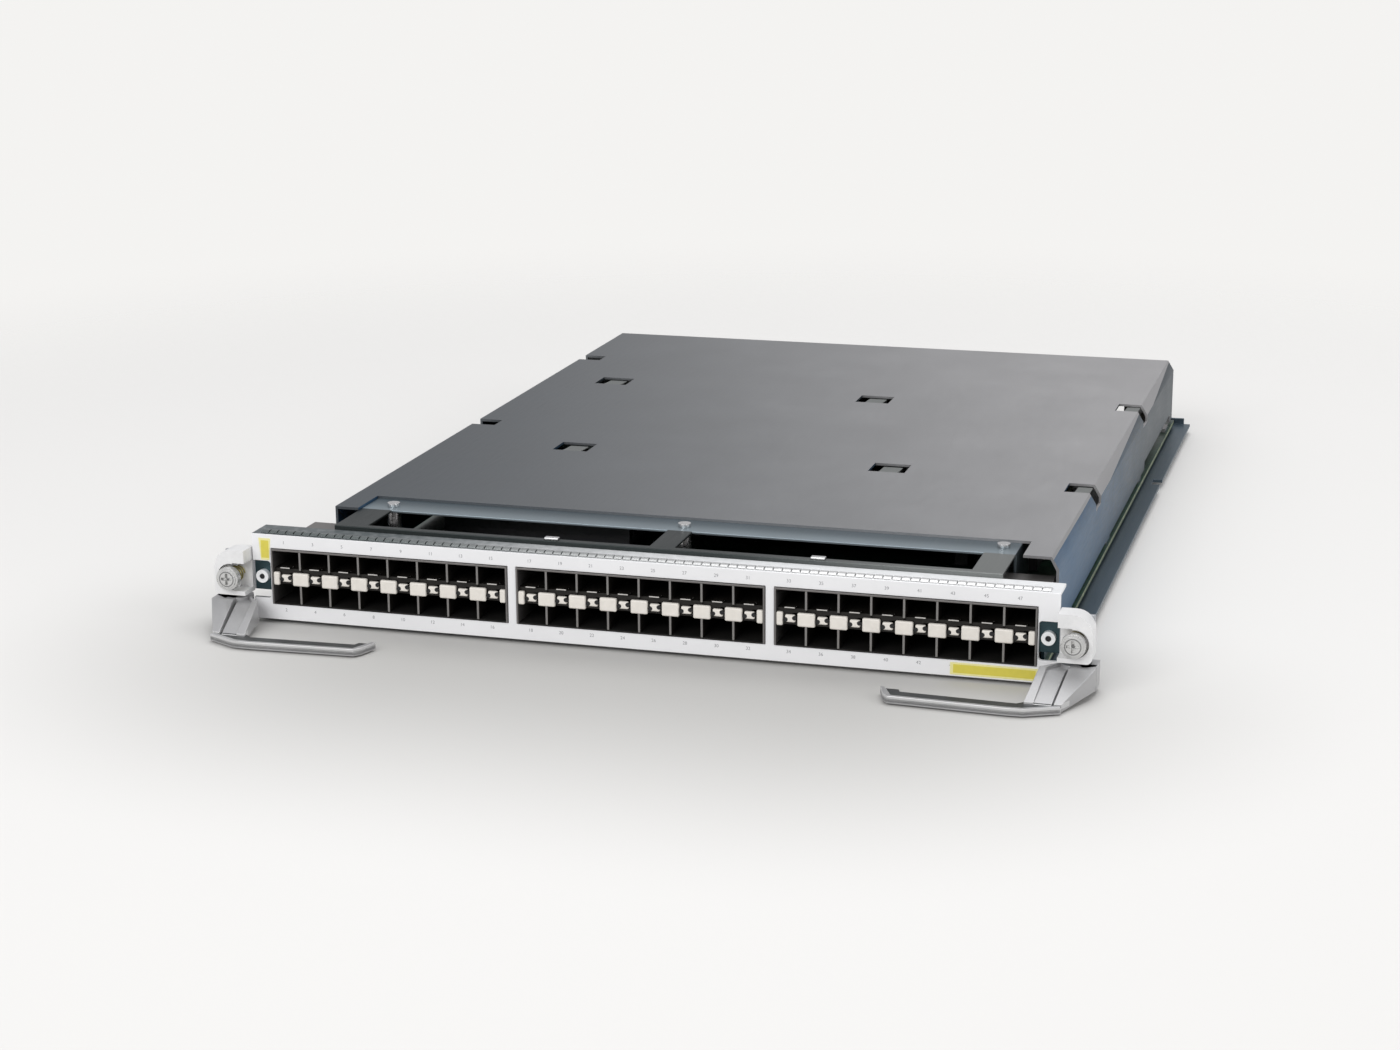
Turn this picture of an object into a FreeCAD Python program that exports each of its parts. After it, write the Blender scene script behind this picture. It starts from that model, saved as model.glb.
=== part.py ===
"""Network switch line card: a board in a sheet-metal carrier, with three ganged cages of ports,
two swinging ejector levers and two spring-loaded captive screws.

X runs along the faceplate, +Y from the faceplate towards the backplane, +Z up. Every piece is drawn
from the faceplate's front face (y = 0), its bottom edge (z = 0) and its middle (x = 0), and is then
placed so that the origin is the centre of the footprint, at the height of the lever handles' underside.
"""
import FreeCAD, Part
import math
import operator
import os

import Sketcher

SIZES = {
    # Faceplate, a folded channel
    "plate_height": 40.0,
    "plate_thick": 2.0,
    "plate_lip_thick": 1.5,
    "top_lip_depth": 15.5,
    "bottom_lip_depth": 9.0,
    "plate_corner_radius": 1.5,
    "port_pitch": 14.25,
    "divider_width": 3.85,
    "end_margin": 9.15,
    "sill_height": 7.2,
    "window_height": 26.3,
    "notch_inset": 8.7,
    "notch_bottom": 10.0,
    "notch_height": 17.3,
    # Contact-finger strips along the faceplate's lips
    "finger_pitch": 4.0,
    "finger_gap": 0.8,
    "finger_front": 1.2,
    "finger_depth": 5.0,
    "finger_sheet": 0.3,
    "finger_rise": 0.8,
    "finger_end_margin": 4.0,
    # Port cages
    "cage_gap": 0.2,
    "cage_wall": 0.8,
    "cage_floor_thick": 0.6,
    "cage_proud": 0.6,
    "cage_depth": 49.0,
    "septum_thick": 1.0,
    "septum_recess": 0.2,
    "band_bottom": 16.7,
    "band_height": 7.3,
    "shelf_front": 1.6,
    "shelf_sheet": 0.5,
    "shelf_depth": 32.0,
    "dot_size": 1.9,
    "dot_offset": 1.9,
    "dot_step": 0.55,
    "latch_width": 4.6,
    "latch_sheet": 0.5,
    "latch_rise": 1.1,
    "latch_reach": 2.4,
    "latch_foot": 3.0,
    "block_width": 8.5,
    "block_margin": 0.1,
    "block_proud": 0.5,
    "pipe_width": 1.7,
    "pipe_margin": 0.7,
    "pipe_proud": 0.3,
    "socket_width": 11.2,
    "socket_front": 34.0,
    "socket_height": 23.5,
    "mouth_width": 9.2,
    "mouth_height": 1.8,
    "mouth_depth": 6.0,
    "lower_mouth": 3.6,
    "upper_mouth": 18.5,
    # Carrier tray, insulator and board
    "tray_thick": 1.6,
    "tray_reach": 2.5,
    "tray_neck_inset": 1.0,
    "tray_neck_depth": 12.0,
    "tray_overhang": 10.0,
    "tray_back_wall": 3.4,
    "rail_break_start": 342.0,
    "rail_break_length": 10.0,
    "rail_break_depth": 5.0,
    "insulator_thick": 0.4,
    "insulator_inset": 2.0,
    "board_thick": 2.4,
    "board_inset": 6.0,
    "board_gap": 1.0,
    "board_rear": 482.0,
    "spacer_radius": 3.0,
    "board_screw_radius": 1.25,
    "board_screw_fit": 0.1,
    "board_screw_head_radius": 2.6,
    "board_screw_head": 1.5,
    # Top cover
    "cover_left_inset": 22.5,
    "cover_right_inset": 7.2,
    "cover_rise": 3.2,
    "cover_sheet": 1.2,
    "cover_front": 43.0,
    "cover_ear_depth": 23.0,
    "left_ear_width": 11.5,
    "right_ear_width": 15.8,
    "cover_rear_inset": 2.0,
    "cover_bevel_width": 3.3,
    "cover_bevel_drop": 5.5,
    "cover_wall_gap": 1.5,
    "cage_relief": 1.2,
    "cover_back_height": 12.0,
    "cover_foot_reach": 8.0,
    "cover_foot_length": 12.0,
    "cover_slot_start": 350.0,
    "cover_slot_length": 118.0,
    "cover_slot_rise": 4.5,
    "tab_slot_width": 18.0,
    "tab_slot_depth": 8.5,
    "tab_width": 11.0,
    "tab_depth": 6.5,
    "tab_drop": 2.2,
    "fold_tab_height": 8.0,
    # Front air frame
    "frame_left_inset": 34.0,
    "frame_right_inset": 27.0,
    "frame_sheet": 1.2,
    "frame_rear": 84.0,
    "frame_window_front": 19.5,
    "frame_window_rear": 47.0,
    "left_strap_width": 15.0,
    "right_strap_width": 14.0,
    "centre_strap_left": -1.0,
    "centre_strap_width": 11.5,
    "frame_front_drop": 5.5,
    "frame_leg_gap": 1.6,
    "frame_post_gap": 6.1,
    "frame_post_radius": 3.2,
    "frame_screw_radius": 1.5,
    "frame_screw_grip": 8.0,
    "frame_screw_head_radius": 2.9,
    "frame_screw_head": 1.7,
    "clip_width": 6.5,
    "clip_depth": 3.0,
    "clip_height": 1.1,
    # Ejector brackets, hubs and their screws
    "bracket_sheet": 1.6,
    "bracket_end_gap": 0.2,
    "bracket_reach": 14.4,
    "bracket_bottom": 13.2,
    "bracket_top": 31.0,
    "bracket_wing_front": 8.0,
    "bracket_wing_depth": 32.0,
    "ring_screw_inset": 4.6,
    "ring_screw_height": 20.0,
    "ring_screw_radius": 3.0,
    "ring_screw_head": 2.6,
    "ring_shank_radius": 1.5,
    "ring_shank_length": 6.0,
    "ring_socket_radius": 1.3,
    "ring_socket_depth": 1.4,
    "ring_nut_radius": 3.0,
    "ring_nut_height": 2.0,
    "hub_gap": 0.4,
    "hub_width": 14.6,
    "hub_bottom": 12.6,
    "hub_height": 20.9,
    "hub_front": 8.5,
    "hub_top_radius": 6.0,
    "hub_bottom_radius": 2.5,
    "screw_offset": 7.4,
    "screw_height": 21.0,
    "screw_head_radius": 5.3,
    "screw_head": 4.0,
    "screw_head_gap": 0.9,
    "screw_travel": 4.5,
    "screw_shank_radius": 2.0,
    "screw_shank_gap": 0.4,
    "screw_thread_end": 19.0,
    "screw_thread_length": 8.0,
    "screw_neck_length": 2.0,
    "screw_neck_radius": 1.6,
    "screw_recess_width": 1.3,
    "screw_recess_span": 5.4,
    "screw_recess_depth": 1.6,
    "screw_rim_width": 1.0,
    "screw_rim_depth": 0.6,
    "hub_pocket_depth": 5.0,
    "hub_spring_pocket_depth": 3.5,
    "hub_window_height": 10.0,
    "spring_radius": 3.4,
    "spring_wire": 0.35,
    "spring_turns": 4.0,
    "spring_gap": 0.4,
    "collar_radius": 3.6,
    "collar_thick": 1.2,
    "running_gap": 0.05,
    # Ejector levers
    "pivot_depth": 0.6,
    "pivot_radius": 1.5,
    "pivot_grip": 3.4,
    "pivot_head_radius": 3.4,
    "pivot_head": 1.0,
    "lever_top_gap": 1.0,
    "lever_boss_radius": 6.7,
    "lever_boss_bottom": 0.8,
    "handle_drop": 2.0,
    "handle_top": 2.0,
    "handle_rear": 26.3,
    "handle_front": 41.0,
    "handle_tip_front": 38.7,
    "handle_tip_rear": 77.8,
    "handle_tip": 73.5,
    "handle_bend": 19.0,
    "handle_heel": 3.6,
    "handle_lip": 2.2,
    "handle_dish": 1.3,
    "handle_corner_radius": 3.0,
    "arm_inner": 13.9,
    "arm_outer": 9.1,
    "arm_shoulder": 10.0,
    "arm_root": 2.2,
    "arm_root_inner": 5.9,
    "arm_foot": 31.0,
    "arm_foot_inner": 16.9,
    "arm_foot_outer": 1.6,
    "arm_under": 3.5,
    "channel_inner": 11.2,
    "channel_outer": 1.8,
    "channel_depth": 1.4,
    "cam_reach": 12.0,
    "cam_front": 9.0,
    "cam_back": 5.0,
    "cam_root": 2.6,
    # Inside the cover
    "chip_size": 38.0,
    "chip_height": 3.0,
    "sink_height": 24.0,
    "sink_base": 4.0,
    "fin_pitch": 6.0,
    "fin_thick": 1.2,
    "sink_a_width": 96.0,
    "sink_a_depth": 92.0,
    "sink_b_width": 84.0,
    "sink_b_depth": 78.0,
    "sink_c_width": 110.0,
    "sink_c_depth": 80.0,
    "memory_pitch": 11.0,
    "memory_thick": 1.4,
    "memory_length": 128.0,
    "memory_height": 27.0,
    "memory_socket_width": 6.5,
    "memory_socket_height": 7.0,
    "brick_width": 37.0,
    "brick_depth": 58.0,
    "brick_height": 12.7,
    "rear_plug_width": 30.0,
    "rear_plug_pitch": 38.0,
    "rear_plug_seat": 20.0,
    "rear_plug_reach": 12.0,
    "rear_plug_inset": 45.5,
    "rear_plug_height": 21.0,
    "rear_mouth_wall": 2.0,
    "rear_mouth_depth": 9.0,
    "power_plug_width": 46.0,
    "power_plug_height": 16.0,
    "blade_thick": 2.2,
    "guide_width": 15.0,
    "guide_height": 18.0,
    "guide_bore": 4.0,
    "guide_seat": 16.0,
    "guide_left_inset": 11.5,
    "guide_right_inset": 18.8,
    # Labels
    "label_thick": 0.15,
    "label_width": 37.7,
    "label_height": 5.4,
    "label_inset": 8.3,
    "label_bottom": 0.8,
    "tag_inset": 3.4,
    "tag_width": 5.8,
    "tag_taper": 0.9,
    "tag_bottom": 27.8,
    "tag_height": 10.2,
}

CAGES = 3
PORTS_ACROSS = 8
SIDES = {"left": -1, "right": 1}
REAR_PLUGS = 5
MEMORY_MODULES = 4
WIRE_SIDES = 6
COIL_STEPS = 12
LANCED_TABS = [(-122.0, 342.0), (-92.0, 184.0), (31.0, 332.0), (72.0, 181.0)]
RIGHT_FOLD_TABS = [165.0, 346.0]
LEFT_FOLD_TABS = [225.0, 401.0]
FRAME_CLIPS = [-46.0, 76.0]
MEMORY_AT = (132.0, 210.0)
POWER_PLUG_AT = 92.0

DOCUMENT = FreeCAD.newDocument("LineCard")
SHEET = DOCUMENT.addObject("Spreadsheet::Sheet", "Sizes")
PIECES = []
OPERATIONS = {"+": operator.add, "-": operator.sub, "*": operator.mul, "/": operator.truediv}


class Size:
    """A length worked out from the sheet: its value now, and the formula that gives it."""

    def __init__(self, value, formula):
        self.value = float(value)
        self.formula = formula

    def __add__(self, other):
        return combine(self, "+", other)

    def __radd__(self, other):
        return combine(other, "+", self)

    def __sub__(self, other):
        return combine(self, "-", other)

    def __rsub__(self, other):
        return combine(other, "-", self)

    def __mul__(self, other):
        return combine(self, "*", other)

    def __rmul__(self, other):
        return combine(other, "*", self)

    def __truediv__(self, other):
        return combine(self, "/", other)

    def __neg__(self):
        return combine(-1, "*", self)


def as_size(value):
    if isinstance(value, Size):
        return value
    return Size(value, f"({float(value):.6f})")


def combine(first, sign, second):
    first = as_size(first)
    second = as_size(second)
    value = OPERATIONS[sign](first.value, second.value)
    return Size(value, f"({first.formula} {sign} {second.formula})")


class Sheet:
    """The sizes by name, each one a cell of the document's sheet."""

    def __init__(self, sizes):
        for row, (name, value) in enumerate(sizes.items(), start=1):
            SHEET.set(f"A{row}", name)
            SHEET.set(f"B{row}", str(value))
            SHEET.setAlias(f"B{row}", name)
            setattr(self, name, Size(value, f"Sizes.{name}"))


size = Sheet(SIZES)
DOCUMENT.recompute()

# Levels and edges that several pieces share
window_width = size.port_pitch * PORTS_ACROSS
window_pitch = window_width + size.divider_width
plate_end = (CAGES - 1) * window_pitch / 2 + window_width / 2 + size.end_margin
window_top = size.sill_height + size.window_height
board_top = size.sill_height + size.cage_gap
board_bottom = board_top - size.board_thick
board_front = size.plate_thick + size.board_gap
tray_bottom = size.plate_lip_thick
tray_top = tray_bottom + size.tray_thick
insulator_top = tray_top + size.insulator_thick
cage_floor_top = board_top + size.cage_floor_thick
cage_top = window_top - size.cage_gap
cage_ceiling = cage_top - size.cage_wall
cage_half = window_width / 2 - size.cage_gap
cage_inner_half = cage_half - size.cage_wall
cage_front = -size.cage_proud
cage_rear = size.cage_depth - size.cage_proud
septum_front = cage_front + size.septum_recess
band_top = size.band_bottom + size.band_height
board_half = plate_end - size.board_inset
tray_half = plate_end + size.tray_reach
tray_rear = size.board_rear + size.tray_overhang
cover_left = -(plate_end - size.cover_left_inset)
cover_right = plate_end - size.cover_right_inset
cover_rear = size.board_rear - size.cover_rear_inset
cover_top = size.plate_height + size.cover_rise
cover_under = cover_top - size.cover_sheet
frame_under = cover_under - size.frame_sheet
frame_left = -(plate_end - size.frame_left_inset)
frame_right = plate_end - size.frame_right_inset
cover_wall_bottom = board_top + size.cover_wall_gap
cover_mid_front = size.cover_front + size.cover_ear_depth
bracket_back = size.plate_thick + size.bracket_sheet
hub_inner = plate_end + size.hub_gap
screw_x = plate_end + size.screw_offset
pivot_y = -size.pivot_depth
lever_top = size.hub_bottom - size.lever_top_gap
rear_plug_front = size.board_rear - size.rear_plug_seat
rear_plug_rear = size.board_rear + size.rear_plug_reach
front_reach = size.handle_front
rear_reach = rear_plug_rear
screw_hole_radius = size.board_screw_radius + size.board_screw_fit
foot_columns = (
    cover_left + size.cover_sheet + size.cover_foot_reach / 2,
    cover_right - size.cover_sheet - size.cover_foot_reach / 2,
)

# Where like pieces stand, as (x, y) or as one of the two
cover_feet = [as_size(80), as_size(205), as_size(330), size.board_rear - 28]
board_screw_places = [(-40, 96), (130, 96), (-130, 300), (140, 388), (0, size.board_rear - 42)]
frame_screw_places = [
    (frame_left + 13, cage_rear + size.frame_post_gap),
    (size.centre_strap_left + size.centre_strap_width / 2, cage_rear + size.frame_post_gap),
    (frame_right - 7, cage_rear + size.frame_post_gap + 3.5),
]
sink_places = {"a": (cover_left + 69.5, 170), "b": (58, 200), "c": (-20, size.board_rear - 112)}
brick_places = [(cover_left + 36.5, size.board_rear - 52), (110, 330)]
guide_columns = [cover_left + size.guide_left_inset, cover_right - size.guide_right_inset]


def bind(piece, path, value):
    piece.setExpression(path, as_size(value).formula)


def middle(centre, width):
    """The span of that width about a centre."""
    return (centre - width / 2, centre + width / 2)


def sided(side, low, high):
    """A span on the right-hand side, or its mirror image on the left."""
    if side > 0:
        return (low, high)
    return (-high, -low)


def publish(label, piece, x=0, y=0, z=0):
    """Names a sub-part and sets it down in the row's frame."""
    piece.Label = label
    bind(piece, "Placement.Base.x", x)
    bind(piece, "Placement.Base.y", y + (front_reach - rear_reach) / 2)
    bind(piece, "Placement.Base.z", z + size.handle_drop)
    PIECES.append(piece)


# Part primitives -----------------------------------------------------------------------------


def block(x_span, y_span, z_span):
    box = DOCUMENT.addObject("Part::Box", "Block")
    for side, axis, span in (("Length", "x", x_span), ("Width", "y", y_span), ("Height", "z", z_span)):
        low, high = span
        bind(box, side, as_size(high) - low)
        bind(box, f"Placement.Base.{axis}", low)
    return box


def rod(axis, across, radius, span):
    """A cylinder along Y or Z. across is its centre's (x, z) or (x, y)."""
    low, high = span
    cylinder = DOCUMENT.addObject("Part::Cylinder", "Rod")
    if axis == "y":
        turn = FreeCAD.Rotation(FreeCAD.Vector(1, 0, 0), -90)
        cylinder.Placement = FreeCAD.Placement(FreeCAD.Vector(), turn)
        corner = (across[0], low, across[1])
    else:
        corner = (across[0], across[1], low)
    for name, value in zip("xyz", corner):
        bind(cylinder, f"Placement.Base.{name}", value)
    bind(cylinder, "Radius", radius)
    bind(cylinder, "Height", as_size(high) - low)
    return cylinder


def fuse(pieces):
    joined = DOCUMENT.addObject("Part::MultiFuse", "Joined")
    joined.Shapes = pieces
    joined.Refine = True
    return joined


def cut(base, tools):
    tool = tools[0] if len(tools) == 1 else fuse(tools)
    result = DOCUMENT.addObject("Part::Cut", "Trimmed")
    result.Base = base
    result.Tool = tool
    return result


def bundle(pieces):
    group = DOCUMENT.addObject("Part::Compound", "Group")
    group.Links = pieces
    return group


# PartDesign bodies ---------------------------------------------------------------------------


def new_body(label):
    return DOCUMENT.addObject("PartDesign::Body", label)


def rectangle(x_span, y_span):
    return [(x_span[0], y_span[0]), (x_span[1], y_span[0]), (x_span[1], y_span[1]), (x_span[0], y_span[1])]


def hold(sketch, kind, corner, value):
    index = sketch.addConstraint(Sketcher.Constraint(kind, -1, 1, *corner, as_size(value).value))
    bind(sketch, f"Constraints[{index}]", value)


def draw_polygon(sketch, points):
    first = sketch.GeometryCount
    corners = [FreeCAD.Vector(as_size(x).value, as_size(y).value, 0) for x, y in points]
    for start, end in zip(corners, corners[1:] + corners[:1]):
        sketch.addGeometry(Part.LineSegment(start, end), False)
    for step in range(len(points)):
        following = first + (step + 1) % len(points)
        sketch.addConstraint(Sketcher.Constraint("Coincident", first + step, 2, following, 1))
    for step, (x, y) in enumerate(points):
        hold(sketch, "DistanceX", (first + step, 1), x)
        hold(sketch, "DistanceY", (first + step, 1), y)


def draw_circle(sketch, x, y, radius):
    index = sketch.GeometryCount
    centre = FreeCAD.Vector(as_size(x).value, as_size(y).value, 0)
    circle = Part.Circle(centre, FreeCAD.Vector(0, 0, 1), as_size(radius).value)
    sketch.addGeometry(circle, False)
    hold(sketch, "DistanceX", (index, 3), x)
    hold(sketch, "DistanceY", (index, 3), y)
    rule = sketch.addConstraint(Sketcher.Constraint("Radius", index, as_size(radius).value))
    bind(sketch, f"Constraints[{rule}]", radius)


def sketch_at(body, plane, distance, outlines):
    """A sketch parallel to an origin plane. An outline is a list of corners, or (x, y, radius)."""
    sketch = body.newObject("Sketcher::SketchObject", "Outline")
    flat = [item for item in body.Origin.OriginFeatures if item.Role == f"{plane}_Plane"][0]
    sketch.AttachmentSupport = [(flat, "")]
    sketch.MapMode = "FlatFace"
    facing = -1 if plane == "XZ" else 1
    bind(sketch, "AttachmentOffset.Base.z", facing * as_size(distance))
    for outline in outlines:
        if isinstance(outline, tuple):
            draw_circle(sketch, *outline)
        else:
            draw_polygon(sketch, outline)
    return sketch


def pad(body, plane, span, *outlines):
    """Adds material between two distances along the plane's axis."""
    low, high = span
    feature = body.newObject("PartDesign::Pad", "Pad")
    feature.Profile = sketch_at(body, plane, high if plane == "XZ" else low, outlines)
    bind(feature, "Length", as_size(high) - low)
    return feature


def pocket(body, plane, span, *outlines):
    """Removes material between two distances along the plane's axis."""
    low, high = span
    feature = body.newObject("PartDesign::Pocket", "Pocket")
    feature.Profile = sketch_at(body, plane, low if plane == "XZ" else high, outlines)
    bind(feature, "Length", as_size(high) - low)
    return feature


def row_of(body, feature, axis, count, pitch):
    """Repeats a feature along one of the body's axes."""
    pattern = body.newObject("PartDesign::LinearPattern", "Row")
    line = [item for item in body.Origin.OriginFeatures if item.Role == f"{axis}_Axis"][0]
    pattern.Originals = [feature]
    pattern.Direction = (line, [""])
    pattern.Occurrences = count
    bind(pattern, "Length", (count - 1) * pitch)
    body.Tip = pattern
    return pattern


def round_edges(body, radius, picked):
    """Rounds the edges of the body's last feature that the test picks."""
    DOCUMENT.recompute()
    base = body.Tip
    names = [f"Edge{n}" for n, edge in enumerate(base.Shape.Edges, start=1) if picked(edge)]
    feature = body.newObject("PartDesign::Fillet", "Rounding")
    feature.Base = (base, names)
    bind(feature, "Radius", radius)
    return feature


def runs_along(edge, axis):
    """True for a straight edge that is parallel to one of the axes x, y and z."""
    if edge.Curve.TypeId != "Part::GeomLine":
        return False
    along = edge.tangentAt(edge.FirstParameter)
    return abs(abs(getattr(along, axis)) - 1) < 1e-6


def edge_near(edge, axis, **place):
    """True for an edge along the axis whose centre lies at the given x, y or z."""
    if not runs_along(edge, axis):
        return False
    centre = edge.CenterOfMass
    return all(abs(getattr(centre, name) - as_size(value).value) < 0.01 for name, value in place.items())


# Faceplate and its contact strips ------------------------------------------------------------


def cage_centres():
    """The middle of each cage, from left to right."""
    return [(index - (CAGES - 1) / 2) * window_pitch for index in range(CAGES)]


def faceplate():
    """One folded sheet: a front wall with three windows, and a lip along the top and the bottom."""
    body = new_body("faceplate")
    lip = size.plate_lip_thick
    wall = size.plate_thick
    channel = [
        (0, 0),
        (size.bottom_lip_depth, 0),
        (size.bottom_lip_depth, lip),
        (wall, lip),
        (wall, size.plate_height - lip),
        (size.top_lip_depth, size.plate_height - lip),
        (size.top_lip_depth, size.plate_height),
        (0, size.plate_height),
    ]
    pad(body, "YZ", (-plate_end, plate_end), channel)
    windows = [
        rectangle(middle(centre, window_width), (size.sill_height, window_top)) for centre in cage_centres()
    ]
    pocket(body, "XZ", (0, wall), *windows)
    notch_z = (size.notch_bottom, size.notch_bottom + size.notch_height)
    notches = [
        rectangle(sided(side, plate_end - size.notch_inset, plate_end + size.notch_inset), notch_z)
        for side in SIDES.values()
    ]
    pocket(body, "XZ", (0, wall), *notches)

    def corner(edge):
        inset = plate_end - size.notch_inset
        return any(
            edge_near(edge, "y", x=side * inset, z=level) for side in SIDES.values() for level in notch_z
        )

    round_edges(body, size.plate_corner_radius, corner)
    publish("faceplate", body)


def finger_strip(label, seat, rise):
    """A thin spring strip whose crowned fingers press against the next card. rise is +1 or -1."""
    body = new_body(label)
    half = plate_end - size.finger_end_margin
    back = size.finger_front + size.finger_depth
    sheet = rise * size.finger_sheet
    crown = rise * size.finger_rise
    inset = size.finger_depth / 4
    section = [
        (size.finger_front, seat),
        (back, seat),
        (back, seat + sheet),
        (back - inset, seat + sheet + crown),
        (size.finger_front + inset, seat + sheet + crown),
        (size.finger_front, seat + sheet),
    ]
    pad(body, "YZ", (-half, half), section)
    count = int(2 * half.value / SIZES["finger_pitch"])
    start = middle(-(count - 1) * size.finger_pitch / 2, size.finger_gap)
    reach = (size.finger_front + inset / 2, back - inset / 2)
    levels = sorted((seat + sheet, seat + 2 * sheet + crown), key=lambda level: level.value)
    slot = pocket(body, "XY", levels, rectangle(start, reach))
    row_of(body, slot, "X", count, size.finger_pitch)
    publish(label, body)


# Port cages ----------------------------------------------------------------------------------


def column_spans(centre):
    """The clear width of each column of ports in a cage, between its walls and septa."""
    septa = [centre + (index - PORTS_ACROSS / 2) * size.port_pitch for index in range(1, PORTS_ACROSS)]
    lefts = [centre - cage_inner_half] + [septum + size.septum_thick / 2 for septum in septa]
    rights = [septum - size.septum_thick / 2 for septum in septa] + [centre + cage_inner_half]
    return list(zip(lefts, rights))


def column_middle(centre, index):
    return centre + (index - (PORTS_ACROSS - 1) / 2) * size.port_pitch


def cage_shell(number, centre):
    """The folded cover of a cage: a roof, two sides and a back, open to the front and below."""
    body = new_body(f"cage_shell_{number}")
    outside = rectangle(middle(centre, 2 * cage_half), (cage_front, cage_rear))
    inside = rectangle(
        middle(centre, 2 * cage_inner_half), (cage_front - size.cage_wall, cage_rear - size.cage_wall)
    )
    pad(body, "XY", (board_top, cage_top), outside)
    pocket(body, "XY", (board_top, cage_ceiling), inside)
    publish(f"cage_shell_{number}", body)


def cage_floor(number, centre):
    floor = block(
        middle(centre, 2 * cage_inner_half),
        (septum_front, cage_rear - size.cage_wall),
        (board_top, cage_floor_top),
    )
    publish(f"cage_floor_{number}", bundle([floor]))


def cage_septa(number, centre):
    """The plates between the columns, each notched at the front for the block that sits there."""
    plates = []
    for index in range(1, PORTS_ACROSS):
        x = centre + (index - PORTS_ACROSS / 2) * size.port_pitch
        plate = block(
            middle(x, size.septum_thick),
            (septum_front, cage_rear - size.cage_wall),
            (cage_floor_top, cage_ceiling),
        )
        notch = block(
            middle(x, 2 * size.septum_thick),
            (cage_front - size.cage_wall, size.shelf_front + size.shelf_sheet),
            (size.band_bottom, band_top),
        )
        plates.append(cut(plate, [notch]))
    publish(f"cage_septa_{number}", bundle(plates))


def port_shelf(span, x):
    """The folded shelf between an upper and a lower port, with two sight holes and a latch tab."""
    back = size.shelf_front + size.shelf_depth
    sheet = size.shelf_sheet
    solid = block(span, (size.shelf_front, back), (size.band_bottom, band_top))
    hollow = block(
        span, (size.shelf_front + sheet, back + sheet), (size.band_bottom + sheet, band_top - sheet)
    )
    holes = []
    for side in SIDES.values():
        z = size.band_bottom + size.band_height / 2 + side * size.dot_step
        hole_y = (size.shelf_front - sheet, size.shelf_front + 2 * sheet)
        hole = block(middle(x + side * size.dot_offset, size.dot_size), hole_y, middle(z, size.dot_size))
        holes.append(hole)
    foot = block(
        middle(x, size.latch_width),
        (size.latch_foot, size.latch_foot + size.latch_sheet),
        (band_top, band_top + size.latch_rise),
    )
    blade = block(
        middle(x, size.latch_width),
        (size.shelf_front - size.latch_reach, size.latch_foot + size.latch_sheet),
        (band_top + size.latch_rise - size.latch_sheet, band_top + size.latch_rise),
    )
    return fuse([cut(solid, [hollow] + holes), foot, blade])


def cage_shelves(number, centre):
    shelves = []
    for index, span in enumerate(column_spans(centre)):
        shelves.append(port_shelf(span, column_middle(centre, index)))
    publish(f"cage_shelves_{number}", bundle(shelves))


def light_pipes(number, centre):
    """Moulded blocks that close the band in front of each septum, and a narrow lens in each column."""
    pieces = []
    block_z = (size.band_bottom + size.block_margin, band_top - size.block_margin)
    block_y = (-size.block_proud, size.shelf_front)
    for index in range(PORTS_ACROSS + 1):
        x = centre + (index - PORTS_ACROSS / 2) * size.port_pitch
        low, high = middle(x, size.block_width)
        if index == 0:
            low = centre - cage_inner_half
        if index == PORTS_ACROSS:
            high = centre + cage_inner_half
        pieces.append(block((low, high), block_y, block_z))
    lens_z = (size.band_bottom + size.pipe_margin, band_top - size.pipe_margin)
    for index in range(PORTS_ACROSS):
        lens_x = middle(column_middle(centre, index), size.pipe_width)
        pieces.append(block(lens_x, (-size.pipe_proud, size.shelf_front), lens_z))
    publish(f"light_pipes_{number}", bundle(pieces))


def port_sockets(number, centre):
    """The stacked socket at the back of each column, with a mouth for each module's edge contacts."""
    sockets = []
    back = cage_rear - size.cage_wall
    for index in range(PORTS_ACROSS):
        x = column_middle(centre, index)
        housing = block(
            middle(x, size.socket_width),
            (size.socket_front, back),
            (cage_floor_top, cage_floor_top + size.socket_height),
        )
        mouths = []
        for height in (size.lower_mouth, size.upper_mouth):
            mouth_y = (size.socket_front - size.mouth_depth, size.socket_front + size.mouth_depth)
            mouth_z = (cage_floor_top + height, cage_floor_top + height + size.mouth_height)
            mouths.append(block(middle(x, size.mouth_width), mouth_y, mouth_z))
        sockets.append(cut(housing, mouths))
    publish(f"port_sockets_{number}", bundle(sockets))


# Carrier tray, insulator, board and the screws that hold them --------------------------------


def foot_places():
    return [(x, y) for x in foot_columns for y in cover_feet]


def fixing_holes(radius):
    """Round outlines for every screw that passes through the board."""
    return [(x, y, radius) for x, y in foot_places() + board_screw_places]


def carrier_tray():
    """The folded zinc-plated tray: it slides in the chassis by its long edges."""
    body = new_body("carrier_tray")
    half = tray_half
    neck = plate_end - size.tray_neck_inset
    front = size.plate_thick
    shoulder = front + size.tray_neck_depth
    outline = [
        (-neck, front),
        (neck, front),
        (neck, shoulder),
        (half, shoulder),
        (half, tray_rear),
        (-half, tray_rear),
        (-half, shoulder),
        (-neck, shoulder),
    ]
    pad(body, "XY", (tray_bottom, tray_top), outline)
    back_wall = rectangle((-neck, neck), (tray_rear - size.tray_thick, tray_rear))
    pad(body, "XY", (tray_top, tray_top + size.tray_back_wall), back_wall)
    break_y = (size.rail_break_start, size.rail_break_start + size.rail_break_length)
    breaks = [
        rectangle(sided(side, half - size.rail_break_depth, half + size.rail_break_depth), break_y)
        for side in SIDES.values()
    ]
    pocket(body, "XY", (tray_bottom, tray_top), *breaks)
    pocket(body, "XY", (tray_bottom, tray_top), *fixing_holes(screw_hole_radius))
    publish("carrier_tray", body)


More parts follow.
